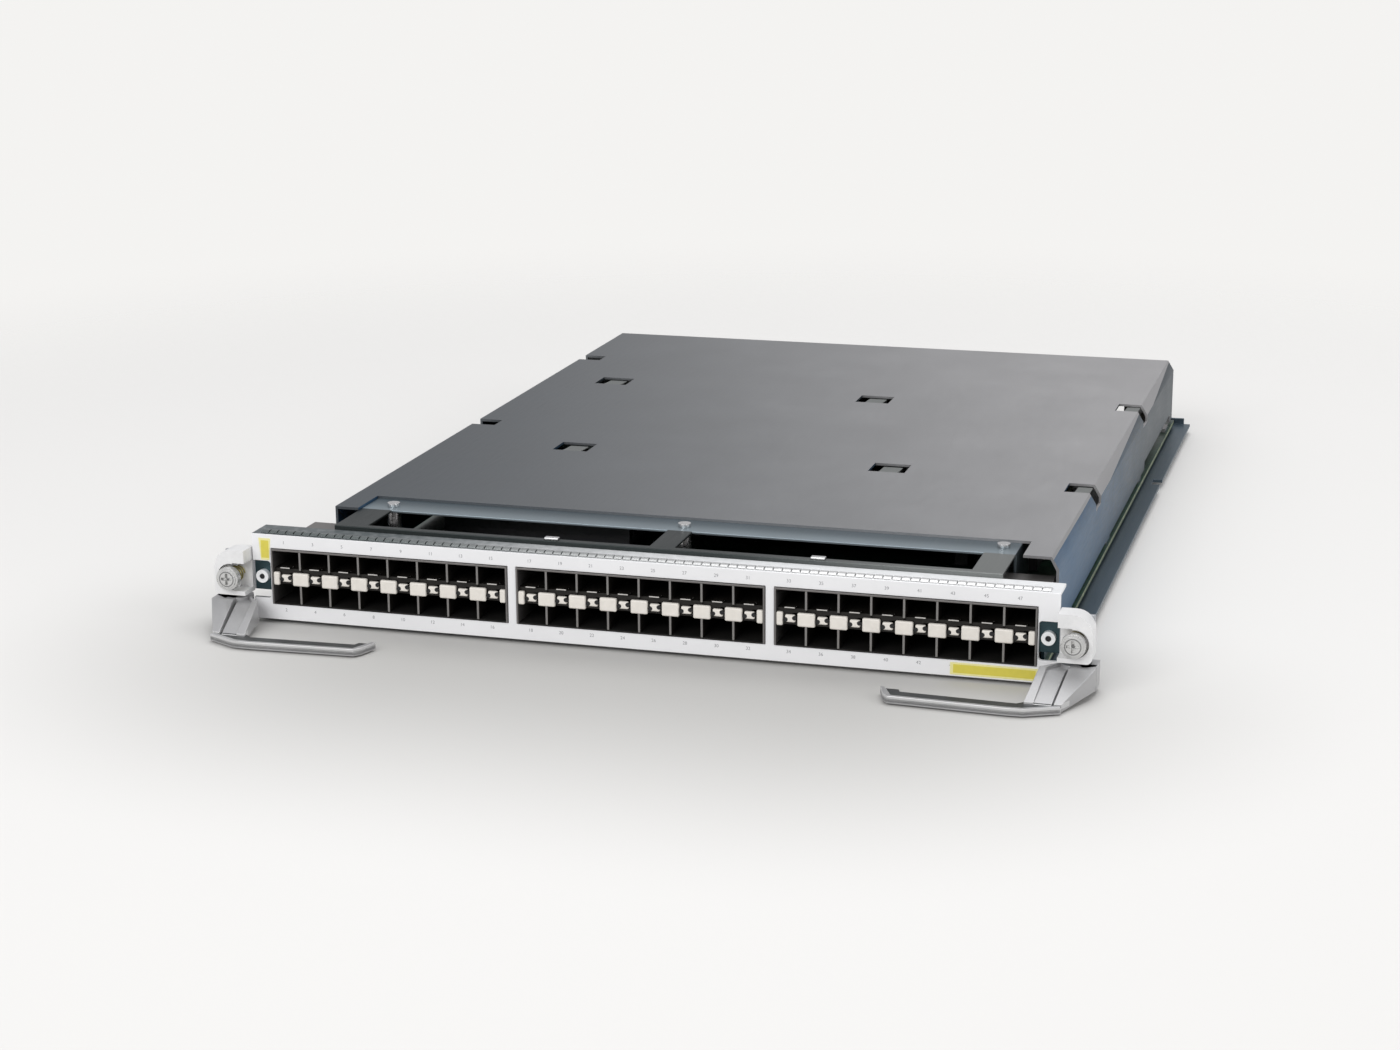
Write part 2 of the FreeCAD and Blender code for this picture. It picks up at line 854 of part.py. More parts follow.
def insulator_sheet():
    body = new_body("insulator_sheet")
    half = board_half - size.insulator_inset
    lengthwise = (board_front + size.insulator_inset, size.board_rear - size.insulator_inset)
    pad(body, "XY", (tray_top, insulator_top), rectangle((-half, half), lengthwise))
    clearance = size.board_screw_fit
    pocket(body, "XY", (tray_top, insulator_top), *fixing_holes(screw_hole_radius + clearance))
    publish("insulator_sheet", body)


def main_board():
    body = new_body("main_board")
    outline = rectangle((-board_half, board_half), (board_front, size.board_rear))
    pad(body, "XY", (board_bottom, board_top), outline)
    pocket(body, "XY", (board_bottom, board_top), *fixing_holes(screw_hole_radius))
    publish("main_board", body)


def board_spacers():
    rings = []
    for x, y in foot_places() + board_screw_places:
        outside = rod("z", (x, y), size.spacer_radius, (insulator_top, board_bottom))
        bore = rod("z", (x, y), screw_hole_radius, (insulator_top, board_bottom))
        rings.append(cut(outside, [bore]))
    publish("board_spacers", bundle(rings))


def board_screws():
    """Screws down through the board into the tray."""
    screws = []
    for x, y in board_screw_places:
        shank = rod("z", (x, y), size.board_screw_radius, (tray_bottom, board_top))
        head_z = (board_top, board_top + size.board_screw_head)
        head = rod("z", (x, y), size.board_screw_head_radius, head_z)
        screws.append(fuse([shank, head]))
    publish("board_screws", bundle(screws))


def cover_screws():
    """Screws up through the tray and the board into the cover's feet."""
    screws = []
    for x, y in foot_places():
        shank = rod("z", (x, y), size.board_screw_radius, (tray_bottom, cover_wall_bottom))
        head_z = (tray_bottom - size.board_screw_head, tray_bottom)
        head = rod("z", (x, y), size.board_screw_head_radius, head_z)
        screws.append(fuse([shank, head]))
    publish("cover_screws", bundle(screws))


# Top cover -----------------------------------------------------------------------------------


def cover_section():
    """The cover's folded section across the card, with a broad bevel along the right-hand fold."""
    left = cover_left
    right = cover_right
    sheet = size.cover_sheet
    bevel = size.cover_bevel_width
    drop = size.cover_bevel_drop
    return [
        (left, cover_wall_bottom),
        (left + sheet, cover_wall_bottom),
        (left + sheet, cover_under),
        (right - bevel - sheet / 2, cover_under),
        (right - sheet, cover_top - drop - sheet / 2),
        (right - sheet, cover_wall_bottom),
        (right, cover_wall_bottom),
        (right, cover_top - drop),
        (right - bevel, cover_top),
        (left, cover_top),
    ]


def lanced_tab(body, x, y):
    """A tongue cut free on three sides and pressed down below the sheet, with its root in front."""
    root = y - size.tab_slot_depth / 2
    slot = rectangle(middle(x, size.tab_slot_width), (root, root + size.tab_slot_depth))
    pocket(body, "XY", (cover_under, cover_top), slot)
    tongue_x = middle(x, size.tab_width)
    low = cover_under - size.tab_drop
    side_view = [
        (root, cover_under),
        (root, cover_top),
        (root + size.tab_drop, low + size.cover_sheet),
        (root + size.tab_depth, low + size.cover_sheet),
        (root + size.tab_depth, low),
        (root + size.tab_drop, low),
    ]
    pad(body, "YZ", tongue_x, side_view)


def fold_slot(body, side, y):
    """A lanced slot that wraps over a fold, from the top face down the side wall."""
    edge = cover_right if side > 0 else cover_left
    inner = edge - side * (size.cover_bevel_width + size.tab_width / 2)
    x_span = (inner, edge + size.cover_sheet) if side > 0 else (edge - size.cover_sheet, inner)
    z_span = (cover_top - size.fold_tab_height, cover_top)
    pocket(body, "XY", z_span, rectangle(x_span, middle(y, size.tab_slot_depth)))


def top_cover():
    """One folded sheet with two forward ears, side walls on feet, and lanced tabs in its face."""
    body = new_body("top_cover")
    left = cover_left
    right = cover_right
    pad(body, "XZ", (size.cover_front, cover_rear), cover_section())
    back_x = (left, right - size.cover_bevel_width)
    back_z = (cover_top - size.cover_back_height, cover_under)
    pad(body, "XZ", (cover_rear - size.cover_sheet, cover_rear), rectangle(back_x, back_z))
    mouth_x = (left + size.left_ear_width, right - size.right_ear_width)
    pocket(body, "XY", (cover_under, cover_top), rectangle(mouth_x, (size.cover_front, cover_mid_front)))
    relief_y = (size.cover_front, cage_rear + size.cage_relief)
    relief_z = (cover_wall_bottom, cage_top + size.cage_relief)
    pocket(body, "YZ", (left, left + size.cover_sheet), rectangle(relief_y, relief_z))
    slot_z = (cover_wall_bottom, cover_wall_bottom + size.cover_slot_rise)
    slot_y = (size.cover_slot_start, size.cover_slot_start + size.cover_slot_length)
    pocket(body, "YZ", (right - size.cover_sheet, right), rectangle(slot_y, slot_z))
    for x, y in LANCED_TABS:
        lanced_tab(body, x, y)
    for y in RIGHT_FOLD_TABS:
        fold_slot(body, 1, y)
    for y in LEFT_FOLD_TABS:
        fold_slot(body, -1, y)
    foot_x = (
        (left, left + size.cover_sheet + size.cover_foot_reach),
        (right - size.cover_sheet - size.cover_foot_reach, right),
    )
    feet = [rectangle(span, middle(y, size.cover_foot_length)) for span in foot_x for y in cover_feet]
    pad(body, "XY", (board_top, cover_wall_bottom + size.cover_sheet / 2), *feet)
    pocket(
        body,
        "XY",
        (board_top, cover_wall_bottom + size.cover_sheet / 2),
        *[(x, y, screw_hole_radius) for x, y in foot_places()],
    )
    publish("top_cover", body)


# Front air frame -----------------------------------------------------------------------------


def air_frame():
    """The folded frame in front of the cover, open above the cages, on a leg at each end."""
    body = new_body("air_frame")
    left = frame_left
    right = frame_right
    front = size.top_lip_depth
    sheet = size.frame_sheet
    section = [
        (front, cover_under - size.frame_front_drop),
        (front + sheet, cover_under - size.frame_front_drop),
        (front + sheet, frame_under),
        (size.frame_rear, frame_under),
        (size.frame_rear, cover_under),
        (front, cover_under),
    ]
    pad(body, "YZ", (left, right), section)
    window_y = (size.frame_window_front, size.frame_window_rear)
    centre_right = size.centre_strap_left + size.centre_strap_width
    openings = [
        rectangle((left + size.left_strap_width, size.centre_strap_left), window_y),
        rectangle((centre_right, right - size.right_strap_width), window_y),
    ]
    pocket(body, "XY", (frame_under, cover_under), *openings)
    leg_y = (cage_rear + size.frame_leg_gap, size.frame_rear)
    legs = [rectangle((left, left + sheet), leg_y), rectangle((right - sheet, right), leg_y)]
    pad(body, "XY", (board_top, frame_under), *legs)
    holes = [(x, y, size.frame_screw_radius + size.board_screw_fit) for x, y in frame_screw_places]
    pocket(body, "XY", (frame_under, cover_under), *holes)
    publish("air_frame", body)


def frame_posts():
    posts = []
    for x, y in frame_screw_places:
        post = rod("z", (x, y), size.frame_post_radius, (board_top, frame_under))
        bore_z = (frame_under - size.frame_screw_grip, frame_under)
        bore = rod("z", (x, y), size.frame_screw_radius + size.board_screw_fit, bore_z)
        posts.append(cut(post, [bore]))
    publish("frame_posts", bundle(posts))


def frame_screws():
    screws = []
    for x, y in frame_screw_places:
        shank_z = (frame_under - size.frame_screw_grip, cover_under)
        shank = rod("z", (x, y), size.frame_screw_radius, shank_z)
        head_z = (cover_under, cover_under + size.frame_screw_head)
        head = rod("z", (x, y), size.frame_screw_head_radius, head_z)
        screws.append(fuse([shank, head]))
    publish("frame_screws", bundle(screws))


def frame_clips():
    """Small spring clips on the front edge of the air frame's windows."""
    clips = []
    for x in FRAME_CLIPS:
        clip_y = (size.frame_window_front - size.clip_depth, size.frame_window_front)
        clip_z = (cover_under, cover_under + size.clip_height)
        clips.append(block(middle(x, size.clip_width), clip_y, clip_z))
    publish("frame_clips", bundle(clips))


# Ejector brackets, hubs and captive screws ---------------------------------------------------


def ejector_bracket(name, side):
    """A zinc-plated plate behind the faceplate's end, with a wing that stands on the board."""
    body = new_body(f"ejector_bracket_{name}")
    inner = plate_end - size.notch_inset - size.bracket_end_gap
    wing_outer = inner + size.bracket_sheet
    outer = plate_end + size.bracket_reach
    plate_x = sided(side, inner, outer)
    levels = (size.bracket_bottom, size.bracket_top)
    pad(body, "XZ", (size.plate_thick, bracket_back), rectangle(plate_x, levels))
    link_y = (size.plate_thick, size.bracket_wing_front)
    pad(body, "XY", levels, rectangle(sided(side, inner, wing_outer), link_y))
    wing_y = (size.bracket_wing_front, size.bracket_wing_front + size.bracket_wing_depth)
    pad(body, "XY", (board_top, size.bracket_top), rectangle(sided(side, inner, wing_outer), wing_y))
    ring_x = side * (plate_end - size.ring_screw_inset)
    nut_y = (bracket_back, bracket_back + size.ring_nut_height)
    pad(body, "XZ", nut_y, (ring_x, size.ring_screw_height, size.ring_nut_radius))
    ring_bore = size.ring_shank_radius + size.board_screw_fit
    screw_bore = size.screw_shank_radius + size.screw_shank_gap
    pocket(
        body,
        "XZ",
        (size.plate_thick, bracket_back + size.ring_nut_height),
        (ring_x, size.ring_screw_height, ring_bore),
        (side * screw_x, size.screw_height, screw_bore),
    )
    publish(f"ejector_bracket_{name}", body)


def ring_screws():
    """The bright socket-head screw that shows in each end notch."""
    screws = []
    for side in SIDES.values():
        centre = (side * (plate_end - size.ring_screw_inset), size.ring_screw_height)
        face = size.plate_thick - size.ring_screw_head
        head = rod("y", centre, size.ring_screw_radius, (face, size.plate_thick))
        shank_y = (size.plate_thick, size.plate_thick + size.ring_shank_length)
        shank = rod("y", centre, size.ring_shank_radius, shank_y)
        socket = rod("y", centre, size.ring_socket_radius, (face, face + size.ring_socket_depth))
        screws.append(cut(fuse([head, shank]), [socket]))
    publish("ring_screws", bundle(screws))


def ejector_hub(name, side):
    """The cast housing at the faceplate's end: it holds the captive screw and the lever's pivot."""
    body = new_body(f"ejector_hub_{name}")
    outer = hub_inner + size.hub_width
    top = size.hub_bottom + size.hub_height
    front = -size.hub_front
    hub_x = sided(side, hub_inner, outer)
    pad(body, "XZ", (front, size.plate_thick), rectangle(hub_x, (size.hub_bottom, top)))
    round_edges(body, size.hub_top_radius, lambda edge: edge_near(edge, "y", x=side * outer, z=top))
    round_edges(
        body, size.hub_bottom_radius, lambda edge: edge_near(edge, "y", x=side * outer, z=size.hub_bottom)
    )
    centre = (side * screw_x, size.screw_height)
    head_pocket = size.screw_head_radius + size.screw_head_gap
    floor = front + size.hub_pocket_depth
    pocket(body, "XZ", (front, floor), (*centre, head_pocket))
    spring_pocket = size.spring_radius + size.spring_wire + size.spring_gap
    spring_seat = floor + size.hub_spring_pocket_depth
    pocket(body, "XZ", (front, spring_seat), (*centre, spring_pocket))
    window_x = sided(side, hub_inner, screw_x)
    pocket(body, "XZ", (front, floor), rectangle(window_x, middle(size.screw_height, size.hub_window_height)))
    bore = size.screw_shank_radius + size.screw_shank_gap
    pocket(body, "XZ", (front, size.plate_thick), (*centre, bore))
    pin_z = (size.hub_bottom, size.hub_bottom + size.pivot_grip)
    pocket(body, "XY", pin_z, (side * screw_x, pivot_y, size.pivot_radius))
    publish(f"ejector_hub_{name}", body)


def pivot_pin(name, side):
    """The headed pin that the lever turns on, pressed into the hub from below."""
    centre = (side * screw_x, pivot_y)
    seat = -size.lever_boss_bottom
    shank = rod("z", centre, size.pivot_radius, (seat, size.hub_bottom + size.pivot_grip))
    head = rod("z", centre, size.pivot_head_radius, (seat - size.pivot_head, seat))
    publish(f"pivot_pin_{name}", bundle([fuse([shank, head])]))


def captive_screw(name, side):
    """A turned screw with a stepped, cross-recessed head. It is drawn about its own axis."""
    body = new_body(f"captive_screw_{name}")
    head_back = -size.hub_front
    face = head_back - size.screw_head
    rim = size.screw_head_radius - size.screw_rim_width
    thread_start = size.screw_thread_end - size.screw_thread_length
    profile = [
        (0, face),
        (rim, face),
        (rim, face + size.screw_rim_depth),
        (size.screw_head_radius, face + size.screw_rim_depth),
        (size.screw_head_radius, head_back),
        (size.screw_shank_radius, head_back),
        (size.screw_shank_radius, thread_start - size.screw_neck_length),
        (size.screw_neck_radius, thread_start - size.screw_neck_length),
        (size.screw_neck_radius, thread_start),
        (size.screw_shank_radius, thread_start),
        (size.screw_shank_radius, size.screw_thread_end),
        (0, size.screw_thread_end),
    ]
    sketch = sketch_at(body, "XY", 0, [profile])
    turned = body.newObject("PartDesign::Revolution", "Turned")
    turned.Profile = sketch
    turned.ReferenceAxis = (sketch, ["V_Axis"])
    turned.Angle = 360
    arm = size.screw_recess_width / 2
    reach = size.screw_recess_span / 2
    cross = [
        (arm, arm),
        (arm, reach),
        (-arm, reach),
        (-arm, arm),
        (-reach, arm),
        (-reach, -arm),
        (-arm, -arm),
        (-arm, -reach),
        (arm, -reach),
        (arm, -arm),
        (reach, -arm),
        (reach, arm),
    ]
    pocket(body, "XZ", (face, face + size.screw_recess_depth), cross)
    publish(f"captive_screw_{name}", body, x=side * screw_x, z=size.screw_height)


def screw_collar(name, side):
    """The ring behind the bracket that keeps the screw from falling out."""
    centre = (side * screw_x, size.screw_height)
    start = bracket_back + size.running_gap
    span = (start, start + size.collar_thick)
    ring = rod("y", centre, size.collar_radius, span)
    bore = rod("y", centre, size.screw_shank_radius + size.running_gap, span)
    publish(f"screw_collar_{name}", bundle([cut(ring, [bore])]))


def coil(radius, wire, height, turns):
    """A coil about +Z from z = 0, ruled between six-sided sections so that its faces stay flat."""
    steps = int(turns * COIL_STEPS)
    slope = math.atan2(height / turns, 2 * math.pi * radius)
    sections = []
    for step in range(steps + 1):
        angle = 2 * math.pi * step / COIL_STEPS
        out = FreeCAD.Vector(math.cos(angle), math.sin(angle), 0)
        rise = FreeCAD.Vector(
            math.sin(angle) * math.sin(slope), -math.cos(angle) * math.sin(slope), math.cos(slope)
        )
        centre = out * radius + FreeCAD.Vector(0, 0, height * step / steps)
        corners = []
        for corner in range(WIRE_SIDES):
            turn = 2 * math.pi * corner / WIRE_SIDES
            corners.append(centre + out * (wire * math.cos(turn)) + rise * (wire * math.sin(turn)))
        sections.append(Part.makePolygon(corners + [corners[0]]))
    return Part.makeLoft(sections, True, True)


def screw_spring(name, side):
    """The coil spring between the captive screw's head and the floor of the hub's pocket."""
    room = size.hub_pocket_depth + size.hub_spring_pocket_depth - 2 * size.running_gap
    height = room - 2 * size.spring_wire
    spring = DOCUMENT.addObject("Part::Feature", "Coil")
    shape = coil(size.spring_radius.value, size.spring_wire.value, height.value, size.spring_turns.value)
    shape.rotate(FreeCAD.Vector(), FreeCAD.Vector(1, 0, 0), -90)
    spring.Shape = shape
    start = -size.hub_front + size.running_gap + size.spring_wire
    publish(f"screw_spring_{name}", bundle([spring]), x=side * screw_x, y=start, z=size.screw_height)


# Ejector levers ------------------------------------------------------------------------------


def arm_section(body, side, y, inner, outer, bottom, top):
    outline = rectangle(sided(side, inner, outer), (bottom, top))
    return sketch_at(body, "XZ", y, [outline])


def lever_arm(body, side):
    """The arm sweeps forward and down from the pivot to the handle, widening at the shoulder."""
    outer = screw_x + size.arm_outer
    foot_x = (screw_x - size.arm_foot_inner, screw_x + size.arm_foot_outer)
    foot = (*foot_x, -size.handle_drop, size.handle_top)
    shoulder = (screw_x - size.arm_inner, outer, size.arm_under - size.handle_drop, lever_top)
    root = (screw_x - size.arm_root_inner, outer, size.arm_under, lever_top)
    loft = body.newObject("PartDesign::AdditiveLoft", "Arm")
    loft.Profile = arm_section(body, side, -size.arm_foot, *foot)
    loft.Sections = [
        arm_section(body, side, -size.arm_shoulder, *shoulder),
        arm_section(body, side, -size.arm_root, *root),
    ]
    loft.Ruled = True


def mirrored(side, points):
    return [(side * x, y) for x, y in points]


def lever_handle(body, side):
    """The flat grip in front of the faceplate, dished along its top so that a lip stands in front."""
    heel_y = -(size.handle_rear + size.handle_front) / 2
    tip_rear = screw_x - size.handle_tip_rear
    tip = screw_x - size.handle_tip
    bend = screw_x - size.handle_bend
    heel = screw_x + size.handle_heel
    inner = screw_x - size.arm_foot_inner
    grip = [
        (tip_rear, -size.handle_rear),
        (tip, -size.handle_tip_front),
        (bend, -size.handle_front),
        (heel, heel_y),
        (heel, -size.handle_rear + size.handle_lip),
        (inner, -size.handle_rear + size.handle_lip),
        (inner - 2 * size.handle_lip, -size.handle_rear),
    ]
    pad(body, "XY", (-size.handle_drop, size.handle_top), mirrored(side, grip))
    lip = size.handle_lip
    dish = [
        (tip_rear + lip, -size.handle_rear - lip / 2),
        (tip + lip / 2, -size.handle_tip_front + lip),
        (bend - lip, -size.handle_front + lip),
        (bend, -size.handle_rear - lip / 2),
    ]
    pocket(body, "XY", (size.handle_top - size.handle_dish, size.handle_top), mirrored(side, dish))


def lever_channel(body, side):
    """A shallow channel down the arm's sloping face."""
    rise = (lever_top - size.handle_top) / (size.arm_foot - size.arm_shoulder)
    depth = size.channel_depth
    slope = [
        (-size.arm_foot, size.handle_top - depth),
        (-size.arm_shoulder, lever_top - depth),
        (-size.arm_shoulder, lever_top + depth),
        (-size.arm_foot - depth / rise, lever_top + depth),
        (-size.arm_foot - depth / rise, size.handle_top - depth),
    ]
    channel_x = sided(side, screw_x - size.channel_inner, screw_x - size.channel_outer)
    pocket(body, "YZ", channel_x, slope)


def ejector_lever(name, side):
    """The cast lever: a boss on the pivot pin, a cam for the chassis, an arm and a handle."""
    body = new_body(f"ejector_lever_{name}")
    boss_z = (-size.lever_boss_bottom, lever_top)
    pad(body, "XY", boss_z, (side * screw_x, pivot_y, size.lever_boss_radius))
    cam = [
        (screw_x + size.cam_root, -size.cam_front),
        (screw_x + size.cam_reach, -size.cam_front / 2),
        (screw_x + size.cam_reach, size.cam_back),
        (screw_x + size.cam_root, size.cam_back),
    ]
    pad(body, "XY", (0, lever_top), mirrored(side, cam))
    lever_arm(body, side)
    lever_handle(body, side)
    lever_channel(body, side)
    bore_z = (-size.handle_drop, lever_top)
    bore = (side * screw_x, pivot_y, size.pivot_radius + size.running_gap)
    pocket(body, "XY", bore_z, bore)

    def grip_corner(edge):
        tip = (screw_x - size.handle_tip, size.handle_tip_front)
        bend = (screw_x - size.handle_bend, size.handle_front)
        return any(edge_near(edge, "z", x=side * x, y=-y) for x, y in (tip, bend))

    round_edges(body, size.handle_corner_radius, grip_corner)
    publish(f"ejector_lever_{name}", body)


# Inside the cover ----------------------------------------------------------------------------


def switch_chips():
    chips = []
    for x, y in sink_places.values():
        span_z = (board_top, board_top + size.chip_height)
        chips.append(block(middle(x, size.chip_size), middle(y, size.chip_size), span_z))
    publish("switch_chips", bundle(chips))


def heat_sink(name, width, depth):
    """An extruded sink: a base on the chip, with fins that let the air through from side to side."""
    x, y = sink_places[name]
    body = new_body(f"heat_sink_{name}")
    base_bottom = board_top + size.chip_height
    base_top = base_bottom + size.sink_base
    pad(body, "XY", (base_bottom, base_top), rectangle(middle(x, width), middle(y, depth)))
    count = int((depth.value - SIZES["fin_thick"]) / SIZES["fin_pitch"]) + 1
    first = y - (count - 1) * size.fin_pitch / 2
    fin = rectangle(middle(x, width), middle(first, size.fin_thick))
    fins = pad(body, "XY", (base_top, base_bottom + size.sink_height), fin)
    row_of(body, fins, "Y", count, size.fin_pitch)
    publish(f"heat_sink_{name}", body)


def memory_columns():
    x, y = MEMORY_AT
    return [(x + (index - (MEMORY_MODULES - 1) / 2) * size.memory_pitch, y) for index in range(MEMORY_MODULES)]


def memory_sockets():
    sockets = []
    for x, y in memory_columns():
        top = board_top + size.memory_socket_height
        housing = block(
            middle(x, size.memory_socket_width),
            middle(y, size.memory_length + size.memory_socket_width),
            (board_top, top),
        )
        slot_z = (top - size.memory_socket_height / 2, top + size.memory_socket_height)
        slot = block(middle(x, size.memory_thick), middle(y, size.memory_length), slot_z)
        sockets.append(cut(housing, [slot]))
    publish("memory_sockets", bundle(sockets))


def memory_modules():
    modules = []
    bottom = board_top + size.memory_socket_height / 2
    for x, y in memory_columns():
        span_z = (bottom, board_top + size.memory_height)
        modules.append(block(middle(x, size.memory_thick), middle(y, size.memory_length), span_z))
    publish("memory_modules", bundle(modules))


def power_bricks():
    bricks = []
    for x, y in brick_places:
        span_z = (board_top, board_top + size.brick_height)
        bricks.append(block(middle(x, size.brick_width), middle(y, size.brick_depth), span_z))
    publish("power_bricks", bundle(bricks))


def backplane_plugs():
    """The row of signal connectors at the rear, each open towards the backplane."""
    plugs = []
    for index in range(REAR_PLUGS):
        x = cover_left + size.rear_plug_inset + index * size.rear_plug_pitch
        wall = size.rear_mouth_wall
        top = board_top + size.rear_plug_height
        span_y = (rear_plug_front, rear_plug_rear)
        housing = block(middle(x, size.rear_plug_width), span_y, (board_top, top))
        mouth_y = (rear_plug_rear - size.rear_mouth_depth, rear_plug_rear + wall)
        mouth = block(
            middle(x, size.rear_plug_width - 2 * wall), mouth_y, (board_top + wall, top - wall)
        )
        plugs.append(cut(housing, [mouth]))
    publish("backplane_plugs", bundle(plugs))


def power_plug():
    """The rear power connector, with two blades in an open housing."""
    wall = size.rear_mouth_wall
    top = board_top + size.power_plug_height
    span_y = (rear_plug_front, rear_plug_rear)
    housing = block(middle(POWER_PLUG_AT, size.power_plug_width), span_y, (board_top, top))
    mouth_y = (rear_plug_rear - size.rear_mouth_depth, rear_plug_rear + wall)
    mouth_x = middle(POWER_PLUG_AT, size.power_plug_width - 2 * wall)
    mouth = block(mouth_x, mouth_y, (board_top + wall, top - wall))
    blades = []
    for side in SIDES.values():
        blade_x = middle(POWER_PLUG_AT + side * size.power_plug_width / 4, size.blade_thick)
        blade_y = (rear_plug_rear - size.rear_mouth_depth - wall, rear_plug_rear - wall)
        blades.append(block(blade_x, blade_y, (board_top + 2 * wall, top - 2 * wall)))
    publish("power_plug", bundle([fuse([cut(housing, [mouth])] + blades)]))


def guide_sockets():
    """The blocks whose bores take the backplane's guide pins."""
    sockets = []
    for x in guide_columns:
        span_y = (size.board_rear - size.guide_seat, rear_plug_rear)
        top = board_top + size.guide_height
        housing = block(middle(x, size.guide_width), span_y, (board_top, top))
        bore = rod("y", (x, board_top + size.guide_height / 2), size.guide_bore, span_y)
        sockets.append(cut(housing, [bore]))
    publish("guide_sockets", bundle(sockets))


# Labels --------------------------------------------------------------------------------------


def port_labels():
    """A plain strip at the lower right of the faceplate, and a small tapered tag at the upper left."""
    body_y = (-size.label_thick, 0)
    strip_right = plate_end - size.label_inset
    strip_x = (strip_right - size.label_width, strip_right)
    strip = new_body("LabelStrip")
    strip_z = (size.label_bottom, size.label_bottom + size.label_height)
    pad(strip, "XZ", body_y, rectangle(strip_x, strip_z))
    tag = new_body("LabelTag")
    left = -(plate_end - size.tag_inset)
    right = left + size.tag_width
    top = size.tag_bottom + size.tag_height
    keystone = [
        (left + size.tag_taper, size.tag_bottom),
        (right - size.tag_taper, size.tag_bottom),
        (right, top),
        (left, top),
    ]
    pad(tag, "XZ", body_y, keystone)
    publish("port_labels", bundle([strip, tag]))


def build():
    faceplate()
    finger_strip("contact_strip_top", size.plate_height, 1)
    finger_strip("contact_strip_bottom", as_size(0), -1)
    for number, centre in enumerate(cage_centres(), start=1):
        cage_shell(number, centre)
        cage_floor(number, centre)
        cage_septa(number, centre)
        cage_shelves(number, centre)
        light_pipes(number, centre)
        port_sockets(number, centre)
    carrier_tray()
    insulator_sheet()
    main_board()
    board_spacers()
    board_screws()
    cover_screws()
    top_cover()
    air_frame()
    frame_posts()
    frame_screws()
    frame_clips()
    ring_screws()
    for name, side in SIDES.items():
        ejector_bracket(name, side)
        ejector_hub(name, side)
        pivot_pin(name, side)
        captive_screw(name, side)
        screw_collar(name, side)
        screw_spring(name, side)
        ejector_lever(name, side)
    switch_chips()
    heat_sink("a", size.sink_a_width, size.sink_a_depth)
    heat_sink("b", size.sink_b_width, size.sink_b_depth)
    heat_sink("c", size.sink_c_width, size.sink_c_depth)
    memory_sockets()
    memory_modules()
    power_bricks()
    backplane_plugs()
    power_plug()
    guide_sockets()
    port_labels()


def check():
    """Stops the build if any feature failed, or if a sub-part is empty or not valid."""
    for item in DOCUMENT.Objects:
        if "Invalid" in item.State or "Error" in item.State:
            raise RuntimeError(f"{item.Label} ({item.TypeId}) failed: {item.State}")
    for piece in PIECES:
        if piece.Shape.isNull() or not piece.Shape.isValid():
            raise RuntimeError(f"{piece.Label} has no valid shape")


def export():
    os.makedirs("parts", exist_ok=True)
    for piece in PIECES:
        piece.Shape.exportStep(f"parts/{piece.Label}.step")
        print(f"{piece.Label}: {len(piece.Shape.Solids)} solids, {piece.Shape.Volume / 1000:.2f} cm3")


build()
DOCUMENT.recompute()
check()
export()
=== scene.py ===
import math

import bmesh
import bpy
from mathutils import Matrix, Vector


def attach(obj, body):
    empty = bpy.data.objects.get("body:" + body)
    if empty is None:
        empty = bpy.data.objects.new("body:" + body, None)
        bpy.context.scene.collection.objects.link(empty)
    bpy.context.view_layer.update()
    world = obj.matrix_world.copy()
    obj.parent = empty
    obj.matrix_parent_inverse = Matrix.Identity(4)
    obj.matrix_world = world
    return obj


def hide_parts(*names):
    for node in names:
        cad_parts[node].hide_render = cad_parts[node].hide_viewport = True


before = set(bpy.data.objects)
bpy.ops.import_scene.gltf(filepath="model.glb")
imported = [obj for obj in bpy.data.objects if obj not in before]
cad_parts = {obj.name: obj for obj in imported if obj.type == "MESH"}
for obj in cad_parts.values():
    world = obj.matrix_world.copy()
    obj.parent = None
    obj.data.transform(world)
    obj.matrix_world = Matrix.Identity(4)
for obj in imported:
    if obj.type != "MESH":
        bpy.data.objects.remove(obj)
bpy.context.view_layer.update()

# Where the drawing's origin stands, in millimetres: the faceplate's middle, front and bottom edge.
DRAWING_Y = 226.5
DRAWING_Z = 2.0
SIDES = {"left": -1, "right": 1}


# ---- Tools for finishes and meshes --------------------------------------------------------------
# Arithmetic on shader sockets, materials on Object coordinates, and small solids drawn in the
# drawing's own millimetres. The sections after this one use them, piece by piece.


NOISE_ROUGHNESS = 0.55
EDGE_ANGLE = math.radians(34.0)
MIX_COLORS = (6, 7)
MIX_RESULT = 2


class Value:
    """A number on a shader socket. Arithmetic on it adds Math nodes."""

    def __init__(self, finish, socket):
        self.finish = finish
        self.socket = socket

    def math(self, operation, *terms):
        sockets = [term.socket if isinstance(term, Value) else term for term in terms]
        node = self.finish.node("Math", {"operation": operation}, dict(enumerate(sockets)))
        return Value(self.finish, node.outputs[0])

    def __add__(self, other):
        return self.math("ADD", self, other)

    def __radd__(self, other):
        return self.math("ADD", other, self)

    def __sub__(self, other):
        return self.math("SUBTRACT", self, other)

    def __rsub__(self, other):
        return self.math("SUBTRACT", other, self)

    def __mul__(self, other):
        return self.math("MULTIPLY", self, other)

    def __rmul__(self, other):
        return self.math("MULTIPLY", other, self)

    def size(self):
        return self.math("ABSOLUTE", self)

    def root(self):
        return self.math("SQRT", self)

    def at_least_zero(self):
        return self.math("MAXIMUM", self, 0.0)

    def above(self, level):
        return self.math("GREATER_THAN", self, level)

    def below(self, level):
        return self.math("LESS_THAN", self, level)

    def smooth(self, low, high):
        """0 below low, 1 above high, and a smooth rise between them."""
        settings = {"interpolation_type": "SMOOTHSTEP"}
        inputs = {"Value": self.socket, "From Min": low, "From Max": high}
        return Value(self.finish, self.finish.node("MapRange", settings, inputs).outputs[0])


